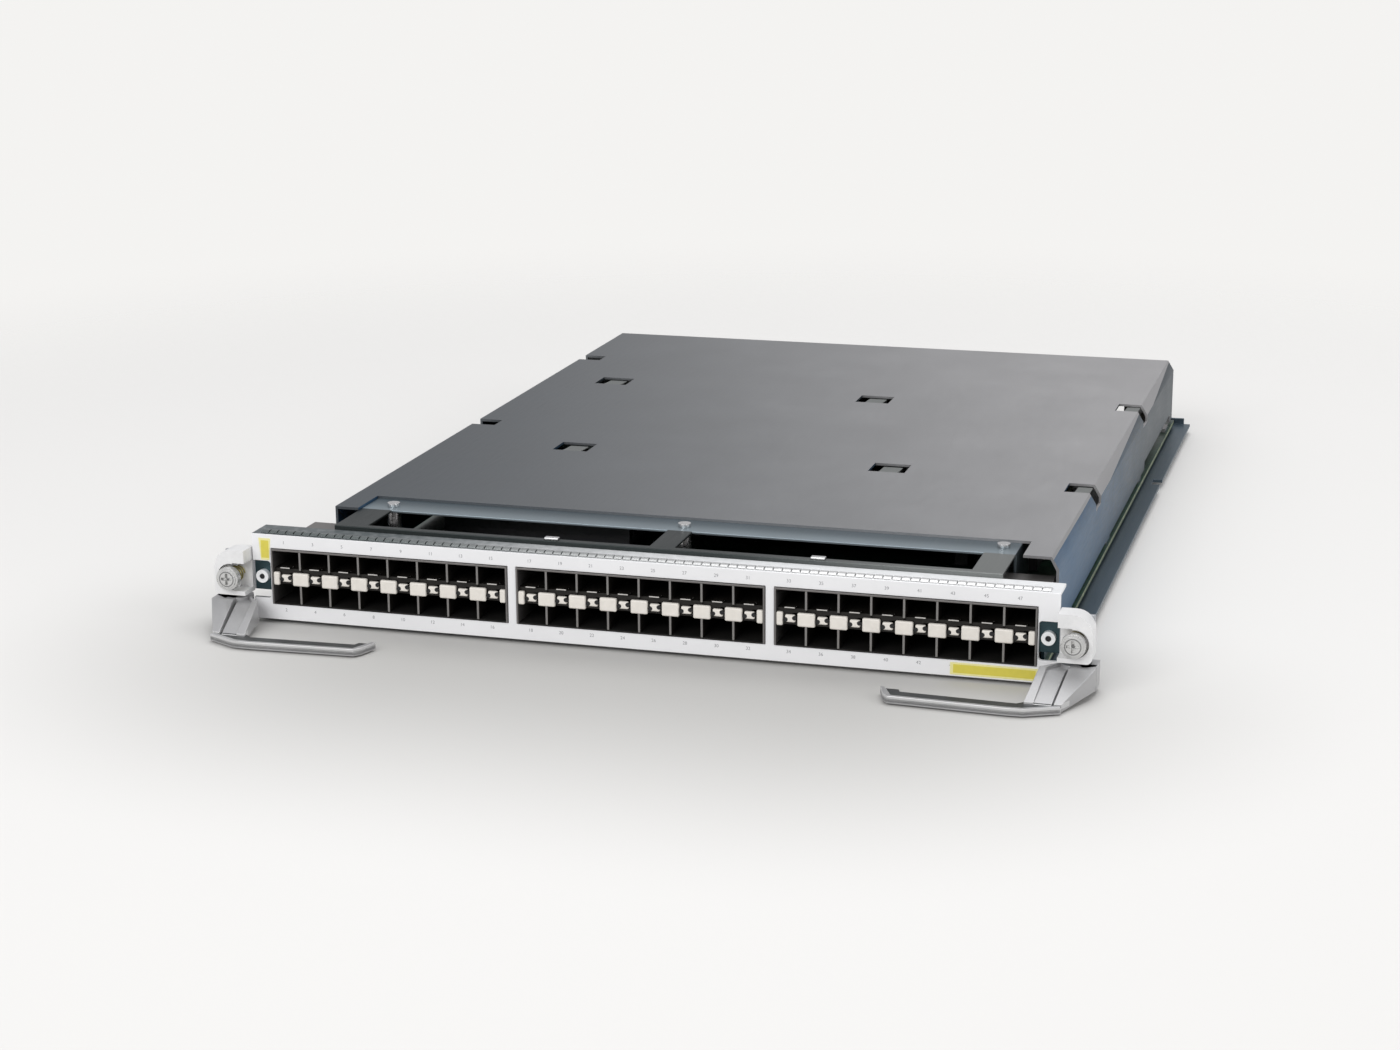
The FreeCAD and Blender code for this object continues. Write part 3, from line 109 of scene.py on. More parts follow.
class Finish:
    """A material on one Principled shader, with its pattern on Object coordinates in metres."""

    def __init__(self, name, color, roughness, metallic=0.0):
        self.material = bpy.data.materials.new(name)
        self.material.use_nodes = True
        self.tree = self.material.node_tree
        self.shader = self.tree.nodes["Principled BSDF"]
        self.color = color
        self.set("Base Color", (*color, 1.0))
        self.set("Roughness", roughness)
        self.set("Metallic", metallic)
        self.place = self.node("TexCoord", {}, {}).outputs["Object"]

    def set(self, socket, value):
        if isinstance(value, Value):
            value = value.socket
        if isinstance(value, bpy.types.NodeSocket):
            self.tree.links.new(value, self.shader.inputs[socket])
        else:
            self.shader.inputs[socket].default_value = value

    def node(self, kind, settings, inputs):
        """A shader node or texture of a kind, with its settings and its sockets filled."""
        for prefix in ("ShaderNodeTex", "ShaderNode"):
            full = prefix + kind
            if hasattr(bpy.types, full):
                break
        node = self.tree.nodes.new(full)
        for key, value in settings.items():
            setattr(node, key, value)
        for key, value in inputs.items():
            if isinstance(value, bpy.types.NodeSocket):
                self.tree.links.new(value, node.inputs[key])
            else:
                node.inputs[key].default_value = value
        return node

    def noise(self, scale, detail=3.0, stretch=(1.0, 1.0, 1.0)):
        mapping = self.node("Mapping", {}, {"Vector": self.place, "Scale": stretch})
        inputs = {"Vector": mapping.outputs["Vector"], "Scale": scale, "Detail": detail}
        inputs["Roughness"] = NOISE_ROUGHNESS
        return Value(self, self.node("Noise", {}, inputs).outputs["Fac"])

    def axis(self, index):
        """The place along x, y or z, in metres."""
        parts = self.node("SeparateXYZ", {}, {"Vector": self.place})
        return Value(self, parts.outputs[index])

    def mixed(self, first, second, factor):
        """The first colour where the factor is 0, the second where it is 1."""
        node = self.node("Mix", {"data_type": "RGBA"}, {"Factor": factor.socket})
        for index, value in zip(MIX_COLORS, (first, second)):
            if isinstance(value, bpy.types.NodeSocket):
                self.tree.links.new(value, node.inputs[index])
            else:
                node.inputs[index].default_value = (*value, 1.0)
        return node.outputs[MIX_RESULT]

    def facing(self, index):
        """The surface normal's share along x, y or z."""
        normal = self.node("NewGeometry", {}, {}).outputs["Normal"]
        return Value(self, self.node("SeparateXYZ", {}, {"Vector": normal}).outputs[index])

    def paint(self, color, factor, amount):
        """Sets a base colour, darker and lighter by an amount as the factor goes 0 to 1."""
        gain = (factor - 0.5) * (2 * amount) + 1.0
        inputs = {0: color, "Scale": gain.socket}
        scaled = self.node("VectorMath", {"operation": "SCALE"}, inputs)
        self.set("Base Color", scaled.outputs[0])

    def shade(self, factor, amount):
        self.paint(self.color, factor, amount)

    def relief(self, height, depth):
        inputs = {"Height": height.socket, "Distance": depth, "Strength": 1.0}
        self.set("Normal", self.node("Bump", {}, inputs).outputs["Normal"])


def sheet_finish(name, color, roughness, metallic=0.75, grain=(1.0, 0.06, 1.0), coat=None):
    """Plated sheet: cloudy plating, a fine grain along the rolling direction, tiny pits.

    coat is a function of the finish that returns a base colour which varies over the sheet. The
    plain colour is then what a viewer shows that doesn't work out the pattern.
    """
    finish = Finish(name, color, roughness, metallic)
    cloud = finish.noise(22.0, 4.0)
    streak = finish.noise(900.0, 2.0, grain)
    pits = finish.noise(2600.0, 2.0)
    base = coat(finish) if coat else color
    finish.paint(base, cloud * 0.55 + streak * 0.3 + pits * 0.15, 0.16)
    finish.set("Roughness", roughness + (cloud - 0.5) * 0.16 + (streak - 0.5) * 0.12)
    finish.relief(streak * 0.6 + pits * 0.4, 0.00003)
    return finish.material


def at(x, y, z):
    """A point of the drawing, in millimetres from the faceplate's middle, front and bottom edge."""
    return Vector((x, y - DRAWING_Y, z + DRAWING_Z)) / 1000


def dressed(name, mesh, finish, edge, body, nodes=(), segments=2):
    """Puts a mesh in the scene with its edges rolled over, on a body, in place of some nodes."""
    mesh.materials.clear()
    mesh.materials.append(finish)
    mesh.shade_smooth()
    mesh.set_sharp_from_angle(angle=EDGE_ANGLE)
    skin = bpy.data.objects.new(name, mesh)
    bpy.context.scene.collection.objects.link(skin)
    if edge:
        bevel = skin.modifiers.new("edge", "BEVEL")
        bevel.affect = "EDGES"
        bevel.limit_method = "ANGLE"
        bevel.angle_limit = EDGE_ANGLE
        bevel.width = edge
        bevel.segments = segments
        bevel.loop_slide = False
        bevel.harden_normals = True
    flat = skin.modifiers.new("flat", "WEIGHTED_NORMAL")
    flat.weight = 100
    flat.keep_sharp = True
    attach(skin, body)
    if nodes:
        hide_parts(*nodes)


def node_mesh(node, cutters=()):
    """A merged copy of a solid's mesh, less what the cutters take away."""
    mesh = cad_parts[node].data.copy()
    mesh.name = node + "_skin"
    work = bmesh.new()
    work.from_mesh(mesh)
    bmesh.ops.remove_doubles(work, verts=work.verts, dist=1e-6)
    work.to_mesh(mesh)
    work.free()
    for cutter, operation in cutters:
        mesh = carved(mesh, cutter, operation)
    return mesh


def carved(mesh, cutter, operation):
    """The mesh after a boolean with another mesh."""
    target = bpy.data.objects.new("target", mesh)
    tool = bpy.data.objects.new("tool", cutter)
    for item in (target, tool):
        bpy.context.scene.collection.objects.link(item)
    rule = target.modifiers.new("carve", "BOOLEAN")
    rule.object = tool
    rule.operation = operation
    rule.solver = "EXACT"
    graph = bpy.context.evaluated_depsgraph_get()
    result = bpy.data.meshes.new_from_object(target.evaluated_get(graph))
    result.name = mesh.name
    for item in (target, tool):
        bpy.data.objects.remove(item)
    return result


def softened(node, finish, edge, body="root", segments=2, cutters=()):
    """A copy of a solid with its edges rolled over, which stands for it in the picture."""
    dressed(node + "_skin", node_mesh(node, cutters), finish, edge, body, [node], segments)


def add_prism(work, outline, low, high, axis="z"):
    """Adds a solid: an outline in two axes of the drawing, between two levels of the third."""
    rings = []
    for level in (low, high):
        ring = []
        for first, second in outline:
            place = [first, second]
            place.insert("xyz".index(axis), level)
            ring.append(work.verts.new(at(*place)))
        rings.append(ring)
    join_rings(work, rings)


def join_rings(work, rings):
    """Closes a solid through rings of as many points each."""
    faces = [work.faces.new(rings[0]), work.faces.new(rings[-1])]
    for first, second in zip(rings, rings[1:]):
        for start in range(len(first)):
            end = (start + 1) % len(first)
            faces.append(work.faces.new((first[start], first[end], second[end], second[start])))
    bmesh.ops.recalc_face_normals(work, faces=faces)


def add_box(work, x_span, y_span, z_span):
    (left, right), (front, back) = x_span, y_span
    add_prism(work, [(left, front), (right, front), (right, back), (left, back)], *z_span)


def disc(x, z, radius, sides=24):
    """A round outline about a point."""
    turns = [2 * math.pi * side / sides for side in range(sides)]
    return [(x + radius * math.cos(turn), z + radius * math.sin(turn)) for turn in turns]


def mesh_of(name, draw):
    """A mesh that a function draws into an empty bmesh."""
    work = bmesh.new()
    draw(work)
    mesh = bpy.data.meshes.new(name)
    work.to_mesh(mesh)
    work.free()
    return mesh


# ---- Carrier tray -------------------------------------------------------------------------------
# Zinc-plated sheet with folded edges, faintly mottled and drawn one way. Its long edges stand out
# past the board and run in the card guides.

tray_sheet = sheet_finish("tray_sheet", (0.10, 0.135, 0.165), 0.38)
softened("carrier_tray", tray_sheet, 0.0002)


# ---- Top cover ----------------------------------------------------------------------------------
# One folded sheet with a bevel along its right fold. Its lanced tabs are tongues cut free on three
# sides. Painted light makes the sheet lighter towards the right, and a painted reflection makes its
# side wall bluish.

COVER_TOP = 43.2
COVER_UNDER = 42.0
COVER_RIGHT = 176.8
COVER_LEFT = -161.5
LANCED_TABS = [(-122.0, 342.0), (-92.0, 184.0), (31.0, 332.0), (72.0, 181.0)]
RIGHT_FOLD_TABS = [165.0, 346.0]
LEFT_FOLD_TABS = [225.0, 401.0]
SLOT_LENGTH = (-7.5, 9.5)
LEFT_SLOT_LENGTH = (-4.3, 7.5)
FOLD_SLOT_FOOT = 34.5
CUT_CLEARANCE = 0.3
TONGUE_SIDE = [
    (-7.8, COVER_UNDER + 0.1),
    (-7.8, COVER_TOP - 0.05),
    (-3.0, COVER_TOP - 0.5),
    (6.6, COVER_TOP - 1.0),
    (6.6, COVER_UNDER - 0.4),
]


def cover_painted_light(finish):
    """Painted light: darker to the left and lighter to the right, and blue-grey down the side wall
    in a painted reflection that is bluer towards the front.
    """
    slant = finish.axis(0) + finish.axis(1) * 0.35
    top = finish.mixed((0.095, 0.107, 0.118), (0.43, 0.425, 0.43), slant.smooth(-0.25, 0.28))
    streaks = finish.noise(700.0, 3.0, (1.0, 0.25, 0.7))
    length = finish.axis(1) + (streaks - 0.5) * 0.25
    wall = finish.mixed((0.050, 0.120, 0.215), (0.075, 0.092, 0.105), length.smooth(-0.20, 0.16))
    return finish.mixed(top, wall, finish.facing(0).above(0.9))


def slot_cutter(work):
    """What is cut away of the sheet round each tab."""
    slots = [(x - 9.2, x + 9.0, y, SLOT_LENGTH, COVER_UNDER - 3) for x, y in LANCED_TABS]
    right = (COVER_RIGHT - 15.5, COVER_RIGHT + 2)
    slots += [(*right, y, SLOT_LENGTH, FOLD_SLOT_FOOT) for y in RIGHT_FOLD_TABS]
    left = (COVER_LEFT - 2, COVER_LEFT + 12.5)
    slots += [(*left, y, LEFT_SLOT_LENGTH, FOLD_SLOT_FOOT) for y in LEFT_FOLD_TABS]
    for low, high, y, (front, back), foot in slots:
        add_box(work, (low, high), (y + front, y + back), (foot, COVER_TOP + CUT_CLEARANCE))


def tongues(work):
    """The tabs that stay in the slots, sloping down to their free ends."""
    spans = [(x - 4.2, x + 5.4, y) for x, y in LANCED_TABS]
    spans += [(COVER_RIGHT - 10.8, COVER_RIGHT - 3.8, y) for y in RIGHT_FOLD_TABS]
    for left, right, y in spans:
        add_prism(work, [(y + run, z) for run, z in TONGUE_SIDE], left, right, "x")


cover_sheet = sheet_finish("cover_sheet", (0.24, 0.24, 0.265), 0.46, coat=cover_painted_light)
tongue_sheet = sheet_finish("tongue_sheet", (0.19, 0.20, 0.195), 0.5)
slot_cuts = [(mesh_of("slot_cutter", slot_cutter), "DIFFERENCE")]
softened("top_cover", cover_sheet, 0.0004, segments=3, cutters=slot_cuts)
dressed("cover_tongues", mesh_of("cover_tongues", tongues), tongue_sheet, 0.0002, "root")


# ---- Air frame, its posts, screws and clips -----------------------------------------------------
# A folded frame with two windows over the back of the port cages. It stands on posts, with small
# bright screws, and two spring clips hold its front edge.

FRAME_FOLD = -0.1796


def frame_painted_light(finish):
    """A bluish band that a painted highlight lightens towards the windows, and straps in front of
    it that painted shade darkens, except towards the right.
    """
    depth = finish.axis(1).smooth(-0.1795, -0.165)
    band = finish.mixed((0.25, 0.30, 0.33), (0.10, 0.13, 0.15), depth)
    across = finish.axis(0).smooth(0.02, 0.15)
    strap_shade = finish.mixed((0.035, 0.042, 0.042), (0.19, 0.20, 0.195), across)
    return finish.mixed(strap_shade, band, finish.axis(1).above(FRAME_FOLD))


frame_sheet = sheet_finish("frame_sheet", (0.16, 0.18, 0.19), 0.40, coat=frame_painted_light)
bright_plate = sheet_finish("bright_plate", (0.70, 0.70, 0.70), 0.26, 0.95)
softened("air_frame", frame_sheet, 0.0003)
softened("frame_posts", bright_plate, 0.0002)
softened("frame_screws", bright_plate, 0.0003)
softened("frame_clips", bright_plate, 0.0003)


# ---- Faceplate ----------------------------------------------------------------------------------
# One folded and painted channel, nearly white, with three windows for the port cages and a notch
# at each end for a bright screw. Painted shade makes its top lip greyer towards the left.

plate_paint = Finish("plate_paint", (0.86, 0.86, 0.87), 0.40, 0.05)
orange_peel = plate_paint.noise(1400.0, 2.0)
plate_cloud = plate_paint.noise(30.0, 3.0)
# Painted light and shade on the top lip: dark at the left and light at the right, broken up by a
# random mottle.
lip_mottle = plate_paint.noise(260.0, 4.0)
lip_painted_light = plate_paint.axis(0).smooth(-0.15, 0.07) + (lip_mottle - 0.5) * 0.5
lip = plate_paint.mixed((0.085, 0.10, 0.105), (0.80, 0.81, 0.82), lip_painted_light)
plate_color = plate_paint.mixed(plate_paint.color, lip, plate_paint.facing(2).above(0.8))
plate_paint.paint(plate_color, plate_cloud, 0.04)
plate_paint.set("Roughness", 0.34 + plate_cloud * 0.12)
plate_paint.relief(orange_peel, 0.00002)
softened("faceplate", plate_paint.material, 0.00025, segments=3)


# ---- Contact strips -----------------------------------------------------------------------------
# Spring strips along both lips, slit into crowned fingers that touch the next card. Painted light
# makes them dark towards the left and bright towards the right.

FINGER_PITCH = 4.0
FINGER_COUNT = 90
FINGER_HALF = 1.7
FINGER_CROWN = [
    (1.2, 0.0),
    (1.2, 0.3),
    (1.9, 0.75),
    (2.7, 1.0),
    (3.7, 1.08),
    (4.7, 1.0),
    (5.5, 0.75),
    (6.2, 0.3),
    (6.2, 0.0),
]
STRIP_SPAN = (-179.9, 179.9)
STRIP_BANDS = [(1.2, 2.0), (5.4, 6.2)]
STRIP_THICKNESS = 0.25


def contact_fingers(seat, rise):
    """The function that draws a strip on a seat; rise is +1 upwards and -1 downwards."""

    def draw(work):
        section = [(y, seat + rise * z) for y, z in FINGER_CROWN]
        for index in range(FINGER_COUNT):
            x = (index - (FINGER_COUNT - 1) / 2) * FINGER_PITCH
            add_prism(work, section, x - FINGER_HALF, x + FINGER_HALF, "x")
        for band in STRIP_BANDS:
            add_box(work, STRIP_SPAN, band, sorted((seat, seat + rise * STRIP_THICKNESS)))

    return draw


# Painted light: the strips are dark towards the left and bright towards the right.
def strip_painted_light(finish):
    across = finish.axis(0).smooth(-0.15, 0.10)
    return finish.mixed((0.13, 0.15, 0.15), (0.66, 0.66, 0.66), across)


strip_metal = sheet_finish("strip_metal", (0.80, 0.80, 0.79), 0.25, 0.5, coat=strip_painted_light)
for end, seat, rise in (("top", 40.0, 1), ("bottom", 0.0, -1)):
    node = f"contact_strip_{end}"
    mesh = mesh_of(node + "_skin", contact_fingers(seat, rise))
    dressed(node + "_skin", mesh, strip_metal, 0.00008, "root", [node])


# ---- Port numbers -------------------------------------------------------------------------------
# Plain numbers printed on the faceplate, odd ones above the upper ports and even ones below the
# lower ports, counted from the left.

PORT_PITCH = 14.25
CAGE_PITCH = 117.85
CAGES = {1: -1, 2: 0, 3: 1}
PORTS_ACROSS = 8
NUMBER_SIZE = 0.0021
NUMBER_ROWS = ((1, 36.5), (2, 4.7))
NUMBER_SHIFT = 0.6
NUMBER_FRONT = -0.03


def column_centres(cages):
    """The middle of every column of ports in some cages, from left to right."""
    for cage in cages:
        for index in range(PORTS_ACROSS):
            yield cage * CAGE_PITCH + (index - (PORTS_ACROSS - 1) / 2) * PORT_PITCH


def number_mesh(text):
    """A number as a flat mesh about the origin, facing up."""
    curve = bpy.data.curves.new("number", "FONT")
    curve.body = text
    curve.size = NUMBER_SIZE
    curve.align_x = "CENTER"
    curve.align_y = "CENTER"
    holder = bpy.data.objects.new("number", curve)
    bpy.context.scene.collection.objects.link(holder)
    graph = bpy.context.evaluated_depsgraph_get()
    mesh = bpy.data.meshes.new_from_object(holder.evaluated_get(graph))
    bpy.data.objects.remove(holder)
    return mesh


number_ink = Finish("number_ink", (0.30, 0.30, 0.31), 0.6)
number_ink.shade(number_ink.noise(2500.0, 2.0), 0.3)
printed = bmesh.new()
raised = Matrix.Rotation(math.radians(90), 4, "X")
for column, x in enumerate(column_centres(CAGES.values())):
    for row, z in NUMBER_ROWS:
        digits = number_mesh(str(2 * column + row))
        digits.transform(Matrix.Translation(at(x - NUMBER_SHIFT, NUMBER_FRONT, z)) @ raised)
        printed.from_mesh(digits)
numbers = bpy.data.meshes.new("port_numbers")
printed.to_mesh(numbers)
printed.free()
dressed("port_numbers", numbers, number_ink.material, 0.0, "root")


# ---- Port cages ---------------------------------------------------------------------------------
# Stamped and folded plated sheet. The rim of each cage is grey, the front edge of each septum is a
# light line, and the inside of each port falls away into the dark: the floors, the septa behind
# their front edges and the shelves are painted nearly black as painted shade, with a painted
# highlight on each latch tab.

SEPTUM_FRONT = -0.2260
TAB_FOOT = 0.0264


def septum_painted_shade(finish):
    """Grey along the front edge, and painted shade, nearly black, behind it."""
    front = finish.facing(1).below(-0.5) * finish.axis(1).below(SEPTUM_FRONT)
    return finish.mixed((0.014, 0.012, 0.010), (0.24, 0.23, 0.22), front)


def shelf_painted_light(finish):
    """A painted highlight on the front of the latch tab, and painted shade, nearly black,
    elsewhere.
    """
    blade_highlight = finish.axis(2).above(TAB_FOOT) * finish.facing(1).below(-0.4)
    return finish.mixed((0.016, 0.014, 0.012), (0.62, 0.60, 0.57), blade_highlight)


cage_metal = sheet_finish("cage_metal", (0.20, 0.19, 0.185), 0.40, 0.7)
# Painted shade: the cage floors are nearly black, as they lie in the dark inside the ports.
cage_painted_shade = sheet_finish("cage_painted_shade", (0.012, 0.011, 0.010), 0.6, 0.3)
septum_metal = sheet_finish("septum_metal", (0.2, 0.2, 0.2), 0.45, 0.4, coat=septum_painted_shade)
shelf_metal = sheet_finish("shelf_metal", (0.2, 0.2, 0.2), 0.45, 0.4, coat=shelf_painted_light)
for number in CAGES:
    softened(f"cage_shell_{number}", cage_metal, 0.00012)
    softened(f"cage_floor_{number}", cage_painted_shade, 0.0)
    softened(f"cage_septa_{number}", septum_metal, 0.00015)
    softened(f"cage_shelves_{number}", shelf_metal, 0.00008)


# ---- Port blocks and lenses ---------------------------------------------------------------------
# Ivory moulded blocks close the band between the ports in front of each septum. Between them a
# white lens bar stands in each column, with a disc of painted shade for a round hole at either end.

BLOCK_HALF = 3.9
BLOCK_LEVELS = (16.4, 22.5)
BLOCK_DEPTH = (-0.5, 1.6)
END_GAP = 1.0
LENS_HALF = 2.3
LENS_LEVELS = (18.0, 21.4)
LENS_DEPTH = (-0.3, 1.6)
HOLE_REACH = 1.95
HOLE_LEVEL = 19.7
HOLE_RISE = 0.4
HOLE_RADIUS = 1.0


def block_row(cage):
    """The function that draws a cage's blocks and lens bars."""

    def draw(work):
        for index in range(PORTS_ACROSS + 1):
            middle = cage * CAGE_PITCH + (index - PORTS_ACROSS / 2) * PORT_PITCH
            low = middle - (BLOCK_HALF if index else -END_GAP)
            high = middle + (BLOCK_HALF if index < PORTS_ACROSS else -END_GAP)
            add_box(work, (low, high), BLOCK_DEPTH, BLOCK_LEVELS)
        for middle in column_centres([cage]):
            add_box(work, (middle - LENS_HALF, middle + LENS_HALF), LENS_DEPTH, LENS_LEVELS)

    return draw


def lens_holes(work):
    """A disc of painted shade at either end of every lens bar, where a round hole is."""
    for x in column_centres(CAGES.values()):
        for side in SIDES.values():
            outline = disc(x + side * HOLE_REACH, HOLE_LEVEL + side * HOLE_RISE, HOLE_RADIUS)
            add_prism(work, outline, -0.33, 0.4, "y")


block_resin = Finish("block_resin", (0.80, 0.76, 0.70), 0.42)
mottle = block_resin.noise(420.0, 3.0)
block_resin.shade(mottle, 0.10)
block_resin.relief(mottle, 0.00003)
# Painted shade: dark discs that stand for the shade inside round holes and screw sockets.
hole_painted_shade = Finish("hole_painted_shade", (0.006, 0.006, 0.007), 0.5)
hole_painted_shade.shade(hole_painted_shade.noise(900.0, 2.0), 0.3)
for number, cage in CAGES.items():
    node = f"light_pipes_{number}"
    mesh = mesh_of(node + "_skin", block_row(cage))
    dressed(node + "_skin", mesh, block_resin.material, 0.0007, "root", [node], 3)
hole_mesh = mesh_of("lens_holes", lens_holes)
dressed("lens_holes", hole_mesh, hole_painted_shade.material, 0.0, "root")


# ---- Port sockets -------------------------------------------------------------------------------
# Black connector housings at the back of each column, nearly lost in the dark.

socket_resin = Finish("socket_resin", (0.008, 0.008, 0.008), 0.6)
socket_resin.shade(socket_resin.noise(1500.0, 2.0), 0.3)
for number in CAGES:
    softened(f"port_sockets_{number}", socket_resin.material, 0.0002)


# ---- Board and what stands on it ----------------------------------------------------------------
# A thick multilayer board with dark green solder mask and a paler edge, black chips under dark
# finned sinks, memory modules on edge, and resin plugs along the rear. The lower part of the
# board's edge keeps the mask colour as painted shade.

BOARD_EDGE_SHADE_TOP = 0.0078

board_mask = Finish("board_mask", (0.012, 0.042, 0.024), 0.34)
copper = board_mask.noise(260.0, 2.0, (1.0, 1.0, 0.1)).above(0.52)
# Painted shade: the pale edge colour is laid only on the right-facing edge above a line, and below
# that line the edge keeps the dark mask colour.
pale_edge_above_shade = board_mask.facing(0).above(0.9) * board_mask.axis(2).above(BOARD_EDGE_SHADE_TOP)
board_color = board_mask.mixed(board_mask.color, (0.26, 0.30, 0.17), pale_edge_above_shade)
board_mask.paint(board_color, copper, 0.22)
board_mask.relief(copper, 0.00003)
softened("main_board", board_mask.material, 0.0001)

black_resin = Finish("black_resin", (0.02, 0.02, 0.022), 0.45)
black_grain = black_resin.noise(1800.0, 3.0)
black_resin.shade(black_grain, 0.25)
black_resin.relief(black_grain, 0.00002)
film = Finish("insulator_film", (0.03, 0.03, 0.032), 0.35)
film.shade(film.noise(60.0, 2.0), 0.15)
dark_anodised = sheet_finish("dark_anodised", (0.16, 0.16, 0.17), 0.4, 0.7, (0.05, 1.0, 1.0))
natural_resin = Finish("natural_resin", (0.10, 0.095, 0.085), 0.48)
natural_grain = natural_resin.noise(900.0, 3.0)
natural_resin.shade(natural_grain, 0.08)
softened("switch_chips", black_resin.material, 0.0004)
for name in "abc":
    softened(f"heat_sink_{name}", dark_anodised, 0.0)
softened("memory_sockets", black_resin.material, 0.0003)
softened("memory_modules", board_mask.material, 0.0)
softened("power_bricks", black_resin.material, 0.0006)
softened("insulator_sheet", film.material, 0.0)
softened("backplane_plugs", natural_resin.material, 0.0004)
softened("power_plug", black_resin.material, 0.0004)
softened("guide_sockets", natural_resin.material, 0.0006, segments=3)


# ---- Board fasteners ----------------------------------------------------------------------------
# Plated machine screws through the board and into the cover's feet, and the spacers that hold the
# board off the tray.

softened("board_spacers", bright_plate, 0.0002)
softened("board_screws", bright_plate, 0.0002)
softened("cover_screws", bright_plate, 0.0002)


# ---- Ejector brackets and ring screws -----------------------------------------------------------
# A plate behind each end of the faceplate, with painted shade where it shows in the notch, and the
# bright ring of a socket screw in front of it, whose socket is a disc of painted shade.

NOTCH_REACH = 0.1838
RING_X = 179.4
RING_Z = 20.0
RING_SOCKET_RADIUS = 1.15


def bracket_notch_shade(finish):
    """Painted shade, dark teal, inside the notch, and grey beyond it."""
    notch_shade = finish.axis(0).size().below(NOTCH_REACH)
    return finish.mixed((0.45, 0.46, 0.48), (0.035, 0.065, 0.075), notch_shade)


bracket_sheet = sheet_finish("bracket_sheet", (0.3, 0.3, 0.3), 0.36, coat=bracket_notch_shade)
ring_metal = sheet_finish("ring_metal", (0.90, 0.91, 0.92), 0.3, 0.3)
for end in SIDES:
    softened(f"ejector_bracket_{end}", bracket_sheet, 0.0002)
softened("ring_screws", ring_metal, 0.0003)


def ring_sockets(work):
    """A disc of painted shade at the middle of each ring screw, where its socket is."""
    for side in SIDES.values():
        add_prism(work, disc(side * RING_X, RING_Z, RING_SOCKET_RADIUS), -0.62, 0.0, "y")


socket_mesh = mesh_of("ring_sockets", ring_sockets)
dressed("ring_sockets", socket_mesh, hole_painted_shade.material, 0.0, "root")


# ---- Ejector hubs -------------------------------------------------------------------------------
# Powder-coated castings with a broad rounding on top and a window on the inner side, through which
# the captive screw's shank and its spring show.

SCREW_X = 191.4
HUB_INNER = 184.4
HUB_OUTER = 199.0
HUB_LEVELS = (11.0, 33.5)
HUB_ROUNDING = 8.2
HUB_STEPS = 8
HUB_DEPTH = (-12.0, 6.0)
HUB_OVERLAP = 3
WINDOW_DEPTH = (-8.9, 0.0)
WINDOW_LEVELS = (14.6, 27.6)


def hub_outline(side):
    """The function that draws the hub's outer form, as deep as the card."""

    def draw(work):
        bottom, top = HUB_LEVELS
        outline = [(HUB_INNER - HUB_OVERLAP, bottom), (HUB_OUTER, bottom)]
        for step in range(HUB_STEPS + 1):
            turn = math.radians(90 * step / HUB_STEPS)
            x = HUB_OUTER - HUB_ROUNDING + HUB_ROUNDING * math.cos(turn)
            outline.append((x, top - HUB_ROUNDING + HUB_ROUNDING * math.sin(turn)))
        outline.append((HUB_INNER - HUB_OVERLAP, top))
        add_prism(work, [(side * x, z) for x, z in outline], *HUB_DEPTH, "y")

    return draw


def hub_window(side):
    """The function that draws what is cut out of the hub's inner side."""

    def draw(work):
        span = sorted((side * (HUB_INNER - 2), side * (SCREW_X - 1)))
        add_box(work, span, WINDOW_DEPTH, WINDOW_LEVELS)

    return draw


casting = Finish("casting", (0.80, 0.80, 0.80), 0.36, 0.15)
cast_skin = casting.noise(700.0, 4.0)
cast_cloud = casting.noise(60.0, 3.0)
casting.shade(cast_cloud * 0.6 + cast_skin * 0.4, 0.18)
casting.set("Roughness", 0.28 + cast_cloud * 0.2)
casting.relief(cast_skin, 0.00008)
for end, side in SIDES.items():
    cuts = [(mesh_of("hub_outline", hub_outline(side)), "INTERSECT")]
    cuts.append((mesh_of("hub_window", hub_window(side)), "DIFFERENCE"))
    node = f"ejector_hub_{end}"
    softened(node, casting.material, 0.0005, segments=3, cutters=cuts)


# ---- Captive screws -----------------------------------------------------------------------------
# Plated screws with a stepped head, each on a coil spring and held by a collar. They turn, and
# travel along their own axis.

SCREW_Z = 0.023
GROOVE_RADII = (0.0031, 0.0036)
RECESS_RADIUS = 0.0009

spring_wire = sheet_finish("spring_wire", (0.36, 0.31, 0.12), 0.35, 0.7)


def head_painted_shade(finish):
    """Painted shade for a turned groove round the head's face and for a recess at its middle."""
    across = finish.axis(0).size() - SCREW_X / 1000
    height = finish.axis(2) - SCREW_Z
    radius = (across * across + height * height).root()
    groove = radius.above(GROOVE_RADII[0]) * radius.below(GROOVE_RADII[1])
    dark = (groove + radius.below(RECESS_RADIUS)) * finish.facing(1).below(-0.8)
    return finish.mixed((0.62, 0.62, 0.61), (0.22, 0.22, 0.22), dark)


screw_plate = sheet_finish("screw_plate", (0.60, 0.60, 0.59), 0.30, 0.6, coat=head_painted_shade)
for end in SIDES:
    softened(f"captive_screw_{end}", screw_plate, 0.0002, f"screw_{end}")
    softened(f"screw_collar_{end}", bright_plate, 0.0002, f"collar_{end}")
    softened(f"screw_spring_{end}", spring_wire, 0.0)


# ---- Ejector levers -----------------------------------------------------------------------------
# Castings that swing on pins under the hubs: a boss, a cam, an arm with two broad faces beside a
# narrow groove, and a thin handle, with painted shade on its dished top and a painted highlight on
# its lip.

LEVER_TOP = 10.9
HANDLE_TOP = 2.0
HANDLE_BOTTOM = -1.3
BOSS_RADIUS = 6.7
CAM = [(194.0, -9.0), (200.7, -4.5), (200.7, 5.0), (194.0, 5.0)]
